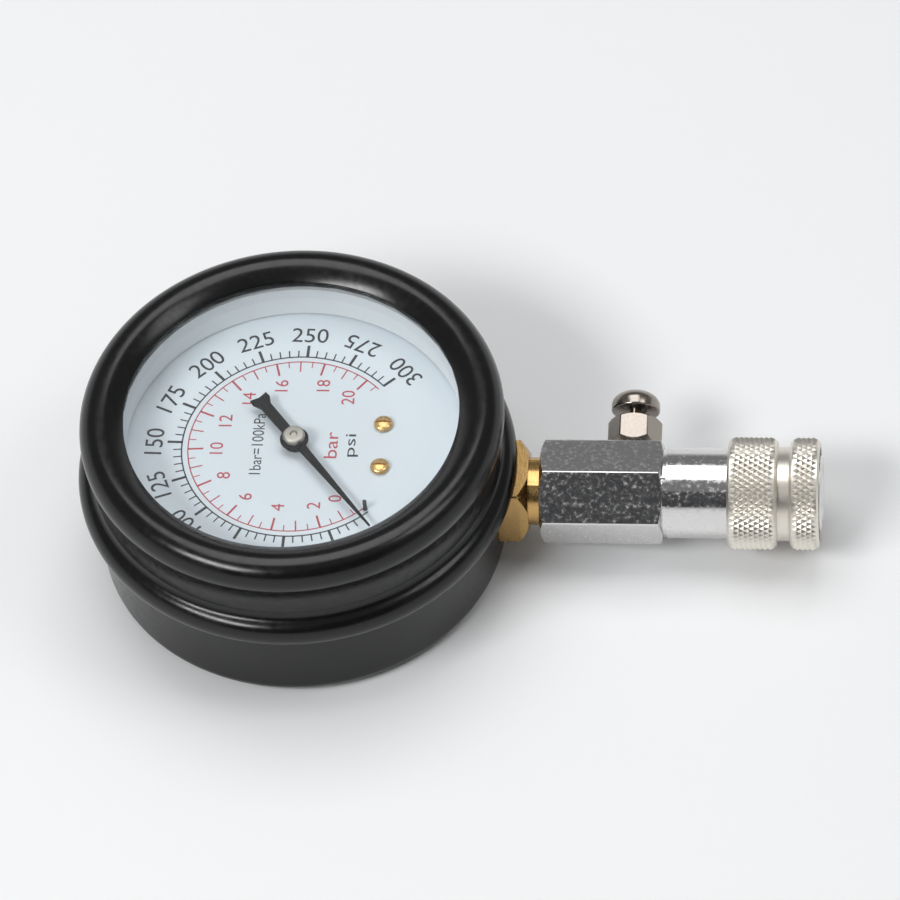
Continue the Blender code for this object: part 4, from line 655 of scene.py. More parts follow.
class Recipe:
    """A Geometry Nodes tree that makes one kind of repeated shape from named sizes."""

    def __init__(self, name: str, **inputs: str) -> None:
        """Start a tree.

        Args:
            name: The tree's name.
            **inputs: Each input's name, with the last part of its socket type, such as Float or Int.
        """
        self.tree = bpy.data.node_groups.new(name, "GeometryNodeTree")
        self.tree.is_modifier = True
        for label, kind in inputs.items():
            self.tree.interface.new_socket(label, in_out="INPUT", socket_type="NodeSocket" + kind)
        self.tree.interface.new_socket("Material", in_out="INPUT", socket_type="NodeSocketMaterial")
        self.tree.interface.new_socket("Geometry", in_out="OUTPUT", socket_type="NodeSocketGeometry")
        self.sizes = self.tree.nodes.new("NodeGroupInput").outputs

    def node(self, kind: str, inputs: dict | None = None, **settings: object) -> NodeSocket:
        """Add a node and return its first output."""
        return add_node(self.tree, kind, inputs, **settings).outputs[0]

    def maths(self, operation: str, *terms: Term) -> NodeSocket:
        """Work out one value from others."""
        return maths(self.tree, operation, *terms)

    def set_out(self, count: Term, place: dict, turn: dict, instance: NodeSocket, **more: Term) -> None:
        """End the tree with a shape that is set on many points.

        Args:
            count: The number of points.
            place: X, Y and Z of a point's place.
            turn: The angles of its turn that aren't 0.
            instance: The shape.
            **more: Other inputs of Instance on Points.
        """
        spot = self.node("ShaderNodeCombineXYZ", place)
        points = self.node("GeometryNodePoints", {"Count": count})
        placed = self.node("GeometryNodeSetPosition", {"Geometry": points, "Position": spot})
        facing = self.node("FunctionNodeEulerToRotation", {0: self.node("ShaderNodeCombineXYZ", turn)})
        given = {"Points": placed, "Instance": instance, "Rotation": facing, **more}
        self.close(self.node("GeometryNodeInstanceOnPoints", given))

    def close(self, geometry: NodeSocket) -> None:
        """End the tree with Realize Instances and Set Material."""
        real = self.node("GeometryNodeRealizeInstances", {0: geometry})
        dressed = self.node("GeometryNodeSetMaterial", {"Geometry": real, "Material": self.sizes["Material"]})
        self.tree.links.new(dressed, self.tree.nodes.new("NodeGroupOutput").inputs[0])

    def run(self, finish: Finish, **values: float) -> Solid:
        """Make the shape with these sizes.

        Args:
            finish: The finish whose material the tree sets.
            **values: A value for each named input.

        Returns:
            The shape as a plain solid.
        """
        holder = linked(self.tree.name, bpy.data.meshes.new(self.tree.name))
        modifier = holder.modifiers.new(self.tree.name, "NODES")
        modifier.node_group = self.tree
        given = {**values, "Material": finish.material()}
        for item in self.tree.interface.items_tree:
            if item.in_out == "INPUT":
                modifier[item.identifier] = given[item.name]
        return Solid(evaluated_mesh(holder))


def marks_recipe() -> Recipe:
    """Flat bars set round a circle, each along its own radius.

    Returns:
        The recipe, with Skip to leave out every so many bars.
    """
    lengths = dict.fromkeys(("Start", "Step", "Middle", "Length", "Width", "Level", "Film"), "Float")
    recipe = Recipe("scale_marks", Count="Int", Skip="Int", **lengths)
    sizes = recipe.sizes
    index = recipe.node("GeometryNodeInputIndex")
    angle = recipe.maths("MULTIPLY_ADD", index, sizes["Step"], sizes["Start"])
    x = recipe.maths("MULTIPLY", recipe.maths("COSINE", angle), sizes["Middle"])
    y = recipe.maths("MULTIPLY", recipe.maths("SINE", angle), sizes["Middle"])
    size = {"X": sizes["Length"], "Y": sizes["Width"], "Z": sizes["Film"]}
    size = recipe.node("ShaderNodeCombineXYZ", size)
    bar = recipe.node("GeometryNodeMeshCube", {"Size": size})
    kept = recipe.maths("GREATER_THAN", recipe.maths("MODULO", index, sizes["Skip"]), 0.5)
    place = {"X": x, "Y": y, "Z": sizes["Level"]}
    recipe.set_out(sizes["Count"], place, {"Z": angle}, bar, Selection=kept)
    return recipe


def line_recipe() -> Recipe:
    """A flat line along an arc.

    Returns:
        The recipe.
    """
    lengths = dict.fromkeys(("Radius", "Start", "Sweep", "Width", "Level", "Film"), "Float")
    recipe = Recipe("scale_line", **lengths)
    sizes = recipe.sizes
    path = {"Radius": sizes["Radius"], "Start Angle": sizes["Start"], "Sweep Angle": sizes["Sweep"]}
    curve = recipe.node("GeometryNodeCurveArc", {"Resolution": 240, **path})
    section = {"Width": sizes["Width"], "Height": sizes["Film"]}
    profile = recipe.node("GeometryNodeCurvePrimitiveQuadrilateral", section)
    swept = {"Curve": curve, "Profile Curve": profile, "Fill Caps": True}
    mesh = recipe.node("GeometryNodeCurveToMesh", swept)
    lift = recipe.node("ShaderNodeCombineXYZ", {"Z": sizes["Level"]})
    recipe.close(recipe.node("GeometryNodeTransform", {"Geometry": mesh, "Translation": lift}))
    return recipe


def knurl_recipe() -> Recipe:
    """Diamond pyramids in staggered rows round the stem's axis.

    Returns:
        The recipe.
    """
    lengths = dict.fromkeys(("Radius", "Start", "Row_Step", "Half_Width", "Height", "Axis_Level"), "Float")
    recipe = Recipe("diamond_knurl", Columns="Int", Rows="Int", **lengths)
    sizes = recipe.sizes
    index = recipe.node("GeometryNodeInputIndex")
    count = recipe.maths("MULTIPLY", sizes["Columns"], sizes["Rows"])
    share = recipe.maths("DIVIDE", recipe.maths("ADD", index, 0.5), sizes["Columns"])
    row = recipe.maths("FLOOR", share)
    half = recipe.maths("MULTIPLY", recipe.maths("MODULO", row, 2.0), 0.5)
    column = recipe.maths("ADD", index, half)
    angle = recipe.maths("MULTIPLY", column, recipe.maths("DIVIDE", 2 * pi, sizes["Columns"]))
    x = recipe.maths("MULTIPLY_ADD", row, sizes["Row_Step"], sizes["Start"])
    inward = recipe.maths("MULTIPLY", sizes["Radius"], -1.0)
    y = recipe.maths("MULTIPLY", recipe.maths("SINE", angle), inward)
    z = recipe.maths("MULTIPLY_ADD", recipe.maths("COSINE", angle), sizes["Radius"], sizes["Axis_Level"])
    pyramid = {"Vertices": 4, "Radius Top": 0.0, "Radius Bottom": 1.0, "Depth": sizes["Height"]}
    diamond = recipe.node("GeometryNodeMeshCone", pyramid)
    stretch = {"X": sizes["Row_Step"], "Y": sizes["Half_Width"], "Z": 1.0}
    stretch = recipe.node("ShaderNodeCombineXYZ", stretch)
    recipe.set_out(count, {"X": x, "Y": y, "Z": z}, {"X": angle}, diamond, Scale=stretch)
    return recipe


@dataclass
class Boot:
    """The moulded rubber boot with its two beads and the lip over the window."""

    radius: float = 40.0
    height: float = 38.5
    floor: float = 2.2
    side_radius: float = 38.6
    front_bead: float = 4.0
    rear_radius: float = 41.6
    rear_bead: float = 3.2
    rear_bead_height: float = 20.5
    front_fillet: float = 16.0
    rear_fillet: float = 2.0
    base_round: float = 3.0
    opening: float = 31.6
    lip_underside: float = 36.1
    lip_round: float = 0.35
    lip_roll: float = 12.0
    lip_angle: float = 115.0
    inner: float = 35.2
    outlet: float = 14.6
    outlet_depth: float = 5.0
    stem_level: float = 13.3

    def bead(self, centre: Point, bead: float, fillet: float, start: float | None = None) -> list[Point]:
        """A bead with the fillets that blend it into the boot's side.

        Args:
            centre: The bead's centre in the section.
            bead: Its radius.
            fillet: The radius of the fillets.
            start: The angle at which it starts, where it has no fillet above it.

        Returns:
            The points, down the outer side.
        """
        side = self.side_radius + fillet
        reach = side - centre[0]
        drop = sqrt((bead + fillet) ** 2 - reach**2)
        meet = degrees(atan2(drop, reach))
        above = [] if start else arc((side, centre[1] + drop), fillet, 180, 180 + meet, 8)
        round_side = arc(centre, bead, start or meet, -meet, 32)
        return above + round_side + arc((side, centre[1] - drop), fillet, 180 - meet, 180, 8)

    def lip(self, front: Point) -> list[Point]:
        """The lip's roll, from its rounded edge at the opening up to the front bead.

        Args:
            front: The centre of the front bead.

        Returns:
            The points, up to the bead's first.
        """
        centre = Vector(front) - on_circle(self.lip_roll - self.front_bead, self.lip_angle)
        reach = self.lip_roll - self.lip_round
        meet = degrees(acos((self.opening + self.lip_round - centre.x) / reach))
        edge = centre + on_circle(reach, meet)
        points = arc(tuple(edge), self.lip_round, 180, meet, 6)
        return points + arc(tuple(centre), self.lip_roll, meet, self.lip_angle, 8)

    def profile(self) -> list[Point]:
        """The boot's section, from its floor up the inside, over the beads and down the outside."""
        front = (self.radius - self.front_bead, self.height - self.front_bead)
        rear = (self.rear_radius - self.rear_bead, self.rear_bead_height)
        base = (self.side_radius - self.base_round, self.base_round)
        points = [(0, self.floor), (self.inner, self.floor), (self.inner, self.lip_underside)]
        points += [(self.opening, self.lip_underside)]
        points += self.lip(front)
        points += self.bead(front, self.front_bead, self.front_fillet, self.lip_angle)
        points += self.bead(rear, self.rear_bead, self.rear_fillet)
        points += arc(base, self.base_round, 0, -90, 16)
        return points + [(0, 0)]

    def build(self) -> None:
        """Mould the boot and open it for the stem."""
        half = self.outlet / 2
        low = (self.inner - self.outlet_depth, -half, self.stem_level - half)
        high = (self.rear_radius + PAST, half, self.stem_level + half)
        boot = Solid.lathe(self.profile(), 360).less(Solid.block(low, high))
        boot.publish("boot", BOOT_RUBBER, nodes=("rubber_boot",))


@dataclass
class Glazing:
    """The window and the pale ring that holds it off the dial."""

    window_radius: float = 34.0
    window_bottom: float = 33.4
    window_top: float = 34.9
    window_edge: float = 0.3
    ring_outer: float = 32.9
    ring_wall: float = 0.8
    ring_bottom: float = 26.1
    ring_top: float = 33.1

    def build(self) -> None:
        """Make the window and the ring."""
        rim = self.window_radius - self.window_edge
        profile = [(0, self.window_top), (rim, self.window_top)]
        profile += [(self.window_radius, self.window_top - self.window_edge)]
        profile += [(self.window_radius, self.window_bottom), (0, self.window_bottom)]
        Solid.lathe(profile, 192).publish("window_pane", CLEAR_WINDOW, nodes=("window",))
        inner = self.ring_outer - self.ring_wall
        section = [(inner, self.ring_top), (self.ring_outer, self.ring_top)]
        section += [(self.ring_outer, self.ring_bottom), (inner, self.ring_bottom)]
        Solid.lathe(section, 192, ring=True).publish("dial_wall", PALE_ABS, nodes=("spacer_ring",))


@dataclass(frozen=True)
class Numeral:
    """One piece of lettering.

    Attributes:
        words: What it says.
        centre: The place of its middle.
        height: Its height.
        upwards: The angle of its upward direction, in degrees.
        length: Its length, or None for the one that its letters give it.
    """

    words: str
    centre: Point
    height: float
    upwards: float
    length: float | None = None


@dataclass(frozen=True)
class Marks:
    """The marks of one size on a scale.

    Attributes:
        step: The reading from one mark to the next.
        last: The last reading that has one.
        inside: How far they reach inside the scale's line, in millimetres.
        outside: How far they reach outside it.
        width: Their width.
        skip: Every so many are left out, with the first.
    """

    step: float
    last: float
    inside: float
    outside: float
    width: float
    skip: int = EVERY


@dataclass(frozen=True)
class Scale:
    """A printed scale, in one ink.

    Attributes:
        name: The piece's name.
        ink: Its ink.
        full: The reading at the end of the sweep.
        line: The radius of its line.
        line_width: The width of that line.
        marks: Its sizes of marks.
        numbers: The readings that are printed.
        orbit: The radius on which they stand.
        height: Their height.
        words: Its other lettering.
        turning: Whether the numbers turn with their angle. If not, they stand up towards -X.
        upturned: The turning numbers that stand on their heads.
        shifted: The numbers that stand off their place, and by how much.
    """

    name: str
    ink: Finish
    full: float
    line: float
    line_width: float
    marks: tuple[Marks, ...]
    numbers: range
    orbit: float
    height: float
    words: tuple[Numeral, ...]
    turning: bool = False
    upturned: tuple[int, ...] = ()
    shifted: dict[int, Point] = field(default_factory=dict)


PSI_SCALE = Scale(
    "dial_print_black",
    BLACK_INK,
    full=300.0,
    line=21.5,
    line_width=0.28,
    marks=(Marks(5.0, 300.0, 0.0, 1.6, 0.26, skip=5), Marks(25.0, 300.0, 0.1, 2.8, 0.55)),
    numbers=range(0, 301, 25),
    orbit=26.8,
    height=3.4,
    words=(Numeral("psi", (10.75, 0.2), 2.6, 180, 5.4), Numeral("1bar=100kPa", (-7.2, 0.4), 2.2, 180, 14.6)),
    turning=True,
    upturned=(0, 25, 275, 300),
)
BAR_SCALE = Scale(
    "dial_print_red",
    RED_INK,
    full=20.684,
    line=20.3,
    line_width=0.24,
    marks=(
        Marks(0.5, 20.5, 1.4, 0.0, 0.2, skip=2),
        Marks(1.0, 19.0, 2.4, 0.0, 0.26, skip=2),
        Marks(2.0, 20.0, 2.9, 0.0, 0.4),
    ),
    numbers=range(0, 21, 2),
    orbit=14.9,
    height=2.5,
    words=(Numeral("bar", (6.8, 0.25), 2.5, 180, 6.3),),
    shifted={0: (-1.9, -1.75), 18: (1.2, 0.0)},
)


@dataclass
class Dial:
    """The dial with its two scales, printed in black and in red."""

    radius: float = 32.9
    top: float = 25.8
    thickness: float = 0.5
    arbor_hole: float = 1.3
    screw_hole: float = 1.2
    pin_hole: float = 0.5
    film: float = 0.02
    zero: float = -46.1
    sweep: float = 271.0
    screws: tuple[Point, ...] = ((16.4, 5.1), (16.4, -5.1))
    stop_pin: Point = (20.6, -46.0)
    scales: tuple[Scale, ...] = (PSI_SCALE, BAR_SCALE)

    @property
    def ink_film(self) -> dict[str, float]:
        """The height and the thickness of the ink, as the recipes name them."""
        return {"Level": self.top + self.film / 2, "Film": self.film}

    def build(self) -> None:
        """Make the plate and its print."""
        holes = [circle((0, 0), self.arbor_hole)]
        holes += [circle(spot, self.screw_hole, 32) for spot in self.screws]
        holes.append(circle(tuple(on_circle(*self.stop_pin)), self.pin_hole, 24))
        rim = circle((0, 0), self.radius, 192)
        plate = Solid.plate([rim, *holes], self.top - self.thickness, self.thickness)
        plate.publish("dial_plate", DIAL_ENAMEL, nodes=("dial",))
        marks, line = marks_recipe(), line_recipe()
        for scale in self.scales:
            self.print_scale(scale, marks, line)

    def print_scale(self, scale: Scale, marks: Recipe, line: Recipe) -> None:
        """Print one scale.

        Args:
            scale: The scale.
            marks: The recipe of the marks.
            line: The recipe of the line.
        """
        path = {"Radius": scale.line, "Start": radians(self.zero - self.sweep), "Sweep": radians(self.sweep)}
        ink = line.run(scale.ink, Width=scale.line_width, **path, **self.ink_film)
        for kind in scale.marks:
            ink.with_mesh(self.print_marks(marks, scale, kind))
        for reading in scale.numbers:
            angle = self.zero - self.sweep * reading / scale.full
            spot = on_circle(scale.orbit, angle) + Vector(scale.shifted.get(reading, (0, 0)))
            upwards = angle if scale.turning else 180
            if reading in scale.upturned:
                upwards += 180
            ink.with_mesh(self.letter(Numeral(str(reading), tuple(spot), scale.height, upwards)))
        for words in scale.words:
            ink.with_mesh(self.letter(words))
        ink.publish(scale.name, scale.ink)

    def print_marks(self, recipe: Recipe, scale: Scale, kind: Marks) -> Mesh:
        """Print the marks of one size.

        Args:
            recipe: The marks' recipe.
            scale: The scale that they belong to.
            kind: Their size.

        Returns:
            Their mesh.
        """
        inner, outer = scale.line - kind.inside, scale.line + kind.outside
        return recipe.run(
            scale.ink,
            Count=round(kind.last / kind.step) + 1,
            Skip=kind.skip,
            Start=radians(self.zero),
            Step=-radians(self.sweep * kind.step / scale.full),
            Middle=(inner + outer) / 2,
            Length=outer - inner,
            Width=kind.width,
            **self.ink_film,
        ).mesh

    def letter(self, numeral: Numeral) -> Mesh:
        """Print one numeral.

        Args:
            numeral: What it says and where.

        Returns:
            Its mesh, lying on the dial.
        """
        text = bpy.data.curves.new(numeral.words, "FONT")
        text.body = numeral.words
        text.extrude = 0.5  # this makes it one unit thick, until it is sized
        text.resolution_u = 4
        made = Solid(evaluated_mesh(linked(numeral.words, text))).merged()
        places = [v.co for v in made.mesh.vertices]
        low = [min(p[i] for p in places) for i in range(2)]
        high = [max(p[i] for p in places) for i in range(2)]
        scale = numeral.height / (high[1] - low[1])
        along = numeral.length / (high[0] - low[0]) if numeral.length else scale
        centring = placed((-(low[0] + high[0]) / 2, -(low[1] + high[1]) / 2, 0))
        sizing = Matrix.Diagonal((along, scale, self.film, 1))
        place = placed((*numeral.centre, self.top + self.film / 2), numeral.upwards - 90)
        return made.moved(place @ sizing @ centring).mesh


@dataclass
class Needle:
    """The pointer with its cap, and what stands out of the dial: the stop pin and two domed screws.

    tail_flare holds how far from the tail's end its neck stops, its flare is full, its corner lies and its
    notch reaches.
    """

    angle: float = -52.5
    length: float = 25.7
    tail: float = 12.8
    tail_neck: float = 2.2
    tail_end: float = 3.8
    tail_flare: tuple[float, float, float, float] = (3.0, 1.4, 0.2, 0.6)
    tail_corner: float = 0.94
    hub: float = 2.7
    arm: float = 1.8
    tip_width: float = 0.3
    level: float = 27.7
    thickness: float = 0.4
    boss_rise: float = 0.2
    boss_drop: float = 1.2
    cap_radius: float = 2.1
    cap_bottom: float = 28.4
    cap_height: float = 1.2
    cap_edge: float = 0.5
    dimple_floor: float = 0.5
    dimple_mouth: float = 0.75
    dimple_depth: float = 0.4
    screw_level: float = 26.1
    screw_head: float = 1.8
    screw_height: float = 1.0
    screw_rim: float = 0.25
    screw_shank: float = 0.9
    screw_length: float = 2.5
    slot_half: float = 0.2
    pin_radius: float = 0.4
    pin_height: float = 2.4
    pin_chamfer: float = 0.1
    pin_root: float = 0.5

    def outline(self) -> list[Point]:
        """The pointer's outline, with its tip on +X."""
        arm, neck, end = self.arm / 2, self.tail_neck / 2, self.tail_end / 2
        start, stop = degrees(atan2(arm, self.hub)), 180 - degrees(atan2(neck, self.hub))
        upper = [(self.length, self.tip_width / 2)]
        upper += arc((0, 0), self.hub, start, stop, 24)
        halves = (neck, end, end * self.tail_corner, 0)
        upper += [(back - self.tail, half) for back, half in zip(self.tail_flare, halves)]
        return upper + [(x, -y) for x, y in upper[-2::-1]]

    def build(self, dial: Dial) -> None:
        """Make the pointer, its cap, the stop pin and the screws.

        Args:
            dial: The dial that they stand on.
        """
        pointer = Solid.plate([self.outline()], self.level, self.thickness)
        pointer.moved(placed((0, 0, 0), self.angle))
        boss = stepped(self.level + self.boss_rise, (self.cap_radius, self.level - self.boss_drop))
        pointer.with_mesh(Solid.lathe(boss, 64).mesh)
        pointer.publish("pointer_hand", POINTER_ENAMEL, "pointer", ("pointer",))
        top = self.cap_bottom + self.cap_height
        dimple = top - self.dimple_depth
        cap = [(0, dimple), (self.dimple_floor, dimple), (self.dimple_mouth, top)]
        cap += arc((self.cap_radius - self.cap_edge, top - self.cap_edge), self.cap_edge, 90, 0, 8)
        cap += [(self.cap_radius, self.cap_bottom), (0, self.cap_bottom)]
        Solid.lathe(cap, 96).publish("pointer_hub_cap", DULL_STEEL, "pointer", ("pointer_cap",))
        self.peg(dial)
        for number, spot in enumerate(dial.screws, 1):
            self.screw(number, spot)

    def peg(self, dial: Dial) -> None:
        """Make the stop pin."""
        top, root = dial.top + self.pin_height, dial.top - self.pin_root
        pin = [(0, top), (self.pin_radius - self.pin_chamfer, top), (self.pin_radius, top - self.pin_chamfer)]
        pin += [(self.pin_radius, root), (0, root)]
        peg = Solid.lathe(pin, 32).moved(placed((*on_circle(*dial.stop_pin), 0)))
        peg.publish("stop_peg", BLACK_PAINT, nodes=("stop_pin",))

    def screw(self, number: int, spot: Point) -> None:
        """Make one domed dial screw with its slot."""
        head, height = self.screw_head, self.screw_height
        turn = [radians(a) for a in range(0, 91, 9)]
        rise = 1 - self.screw_rim
        dome = [(head * sin(a), height * (self.screw_rim + rise * cos(a))) for a in turn]
        dome[0] = (0, height)
        shank, end = self.screw_shank, -self.screw_length
        profile = dome + [(head, 0), (shank, 0), (shank, end), (0, end)]
        low = (-head - PAST, -self.slot_half, height / 2)
        high = (head + PAST, self.slot_half, height + PAST)
        made = Solid.lathe(profile, 64).less(Solid.block(low, high))
        made.moved(placed((*spot, self.screw_level)))
        made.publish(f"dial_fixing_{number}", BRASS, nodes=(f"dial_screw_{number}",))


@dataclass
class Stem:
    """The brass socket and the chromed coupler body with its hexagon, barrel and nose.

    A groove is given by its start, its end and the radius of its floor.
    """

    level: float = 13.3
    square: float = 14.0
    square_end: float = 42.8
    chamfer: float = 0.9
    corner: float = 9.66
    thread_radius: float = 6.4
    thread_length: float = 11.5
    thread_chamfer: float = 0.6
    facing: float = 1.0
    socket_bore: float = 1.5
    socket_bore_end: float = 25.0
    mill_edge: float = 0.15
    block_inner: float = 21.6
    block_outer: float = 31.0
    block_width: float = 16.0
    block_bottom: float = 4.8
    block_top: float = 19.8
    lug_inner: float = 8.0
    lug_top: float = 11.0
    lug_bottom: float = 6.0
    lug_inset: float = 1.0
    hex_start: float = 45.9
    hex_end: float = 69.2
    hex_flats: float = 17.3
    hex_edge: float = 0.25
    hex_chamfer: float = 0.8
    hex_facing: float = 0.2
    hex_roll: float = 16.0
    groove_depth: float = 0.3
    groove_width: float = 0.6
    barrel_radius: float = 8.6
    shoulder: float = 83.0
    nose_radius: float = 7.3
    nose_end: float = 99.1
    nose_chamfer: Point = (0.5, 0.4)
    nose_bore: float = 4.7
    nose_bore_start: float = 84.0
    nose_lead: float = 0.5
    passage: float = 2.0
    seal_groove: Place = (86.0, 88.4, 6.1)
    snap_groove: Place = (97.2, 98.1, 6.7)
    thread_bore: float = 6.7
    thread_bore_end: float = 56.5
    thread_lead: float = 0.6
    ball_position: float = 92.0
    ball_hole: float = 1.85
    ball_seat: float = 5.5
    ball_throat: float = 1.4
    valve_position: float = 63.2
    valve_bore: float = 3.8
    valve_bore_depth: float = 4.7
    valve_chamber: float = 2.9
    valve_chamber_end: float = 0.5

    @property
    def along(self) -> Matrix:
        """The stem's frame: its Z runs along +X."""
        return placed((0, 0, self.level), 90, "Y")

    def turned(self, profile: list[Point], steps: int) -> Solid:
        """Turn a profile about the stem's axis, with its heights along +X."""
        return Solid.lathe(profile, steps).moved(self.along)

    @property
    def valve_axis(self) -> Matrix:
        """The valve's frame: its Z runs out of the hexagon's face."""
        return placed((self.valve_position, 0, self.level), self.hex_roll - 90, "X")

    def ball_frame(self, around: float) -> Matrix:
        """The frame of a ball at an angle round the stem: its Z runs outwards from the stem's axis."""
        return placed((self.ball_position, 0, self.level), around, "X")

    def build(self) -> None:
        """Make the socket and the coupler body."""
        self.build_socket()
        self.build_coupler()

    def build_socket(self) -> None:
        """Mill the brass socket."""
        half = self.square / 2
        wide = self.block_width / 2
        neck_start = self.square_end + self.chamfer
        end = neck_start + self.thread_length
        low = (self.block_inner, -wide, self.block_bottom)
        socket = Solid.block(low, (self.block_outer, wide, self.block_top))
        inset = wide - self.lug_inset
        low = (self.lug_inner, -inset, self.lug_bottom)
        socket.joined(Solid.block(low, (self.block_inner + PAST, inset, self.lug_top)))
        low = (self.block_outer - PAST, -half, self.level - half)
        shank = Solid.block(low, (neck_start, half, self.level + half))
        blank = [(0, neck_start + PAST), (half - self.facing, neck_start + PAST)]
        blank += [(self.corner, self.square_end - self.chamfer)]
        blank += [(self.corner, self.block_outer - 2 * PAST), (0, self.block_outer - 2 * PAST)]
        socket.joined(shank.within(self.turned(blank, 160)))
        neck, edge, root = self.thread_radius, self.thread_chamfer, neck_start - 2 * PAST
        spigot = [(0, end), (neck - edge, end), (neck, end - edge), (neck, root), (0, root)]
        socket.joined(self.turned(spigot, 96))
        bore = stepped(end + PAST, (self.socket_bore, self.socket_bore_end))
        socket.less(self.turned(bore, 32)).softened(self.mill_edge)
        socket.publish("brass_socket", BRASS, nodes=("socket_block",))

    def build_coupler(self) -> None:
        """Turn the coupler body from a hexagon bar, bore it and drill it for the valve and the balls."""
        face = self.hex_flats / 2
        corner = face / cos(pi / 6)
        inner, start, end = face - self.hex_facing, self.hex_start, self.hex_end
        blank = [(0, end), (inner, end), (corner, end - self.hex_chamfer)]
        blank += [(corner, start + self.hex_chamfer), (inner, start), (0, start)]
        bar = Solid.prism(6, self.hex_flats, start - PAST, end + PAST, self.hex_edge)
        bar.moved(self.along @ placed((0, 0, 0), self.hex_roll))
        body = self.turned(blank, 192).within(bar)
        body.joined(self.turned(self.barrel(), 192)).less(self.turned(self.bore(), 128))
        seat = (self.valve_bore, face - self.valve_bore_depth)
        drilling = stepped(face + 2 * PAST, seat, (self.valve_chamber, self.valve_chamber_end))
        body.less(Solid.lathe(drilling, 64).moved(self.valve_axis))
        for turn in range(4):
            body.less(self.ball_drilling(90 * turn))
        body.publish("coupler_bar", CHROME, nodes=("coupler_body",))

    def barrel(self) -> list[Point]:
        """The section of the round barrel and the nose."""
        groove = self.barrel_radius - self.groove_depth
        ring_start, ring_end, ring_floor = self.snap_groove
        inset, length = self.nose_chamfer
        groove_end, root = self.hex_end + self.groove_width, self.hex_end - 2 * PAST
        section = [(0, self.nose_end), (self.nose_radius - inset, self.nose_end)]
        section += walls(
            (self.nose_radius, self.nose_end - length, ring_end),
            (ring_floor, ring_end, ring_start),
            (self.nose_radius, ring_start, self.shoulder),
            (self.barrel_radius, self.shoulder, groove_end),
            (groove, groove_end, root),
        )
        return [*section, (0, root)]

    def bore(self) -> list[Point]:
        """The section of the hole that runs right through the body."""
        groove_start, groove_end, groove_floor = self.seal_groove
        top, bottom = self.nose_end + PAST, self.hex_start - PAST
        section = walls(
            (self.nose_bore + self.nose_lead, top, self.nose_end),
            (self.nose_bore, self.nose_end - self.nose_lead, groove_end),
            (groove_floor, groove_end, groove_start),
            (self.nose_bore, groove_start, self.nose_bore_start),
            (self.passage, self.nose_bore_start, self.thread_bore_end),
            (self.thread_bore, self.thread_bore_end, self.hex_start + self.thread_lead),
            (self.thread_bore + self.thread_lead, self.hex_start, bottom),
        )
        return [(0, top), *section, (0, bottom)]

    def ball_drilling(self, around: float) -> Solid:
        """One radial hole for a ball, with the seat that keeps the ball from falling in."""
        top, bottom = self.nose_radius + PAST, self.nose_bore - 2 * PAST
        profile = [(0, top), (self.ball_hole, top), (self.ball_hole, self.ball_seat)]
        profile += [(self.ball_throat, self.nose_bore), (self.ball_throat, bottom), (0, bottom)]
        return Solid.lathe(profile, 48).moved(self.ball_frame(around))


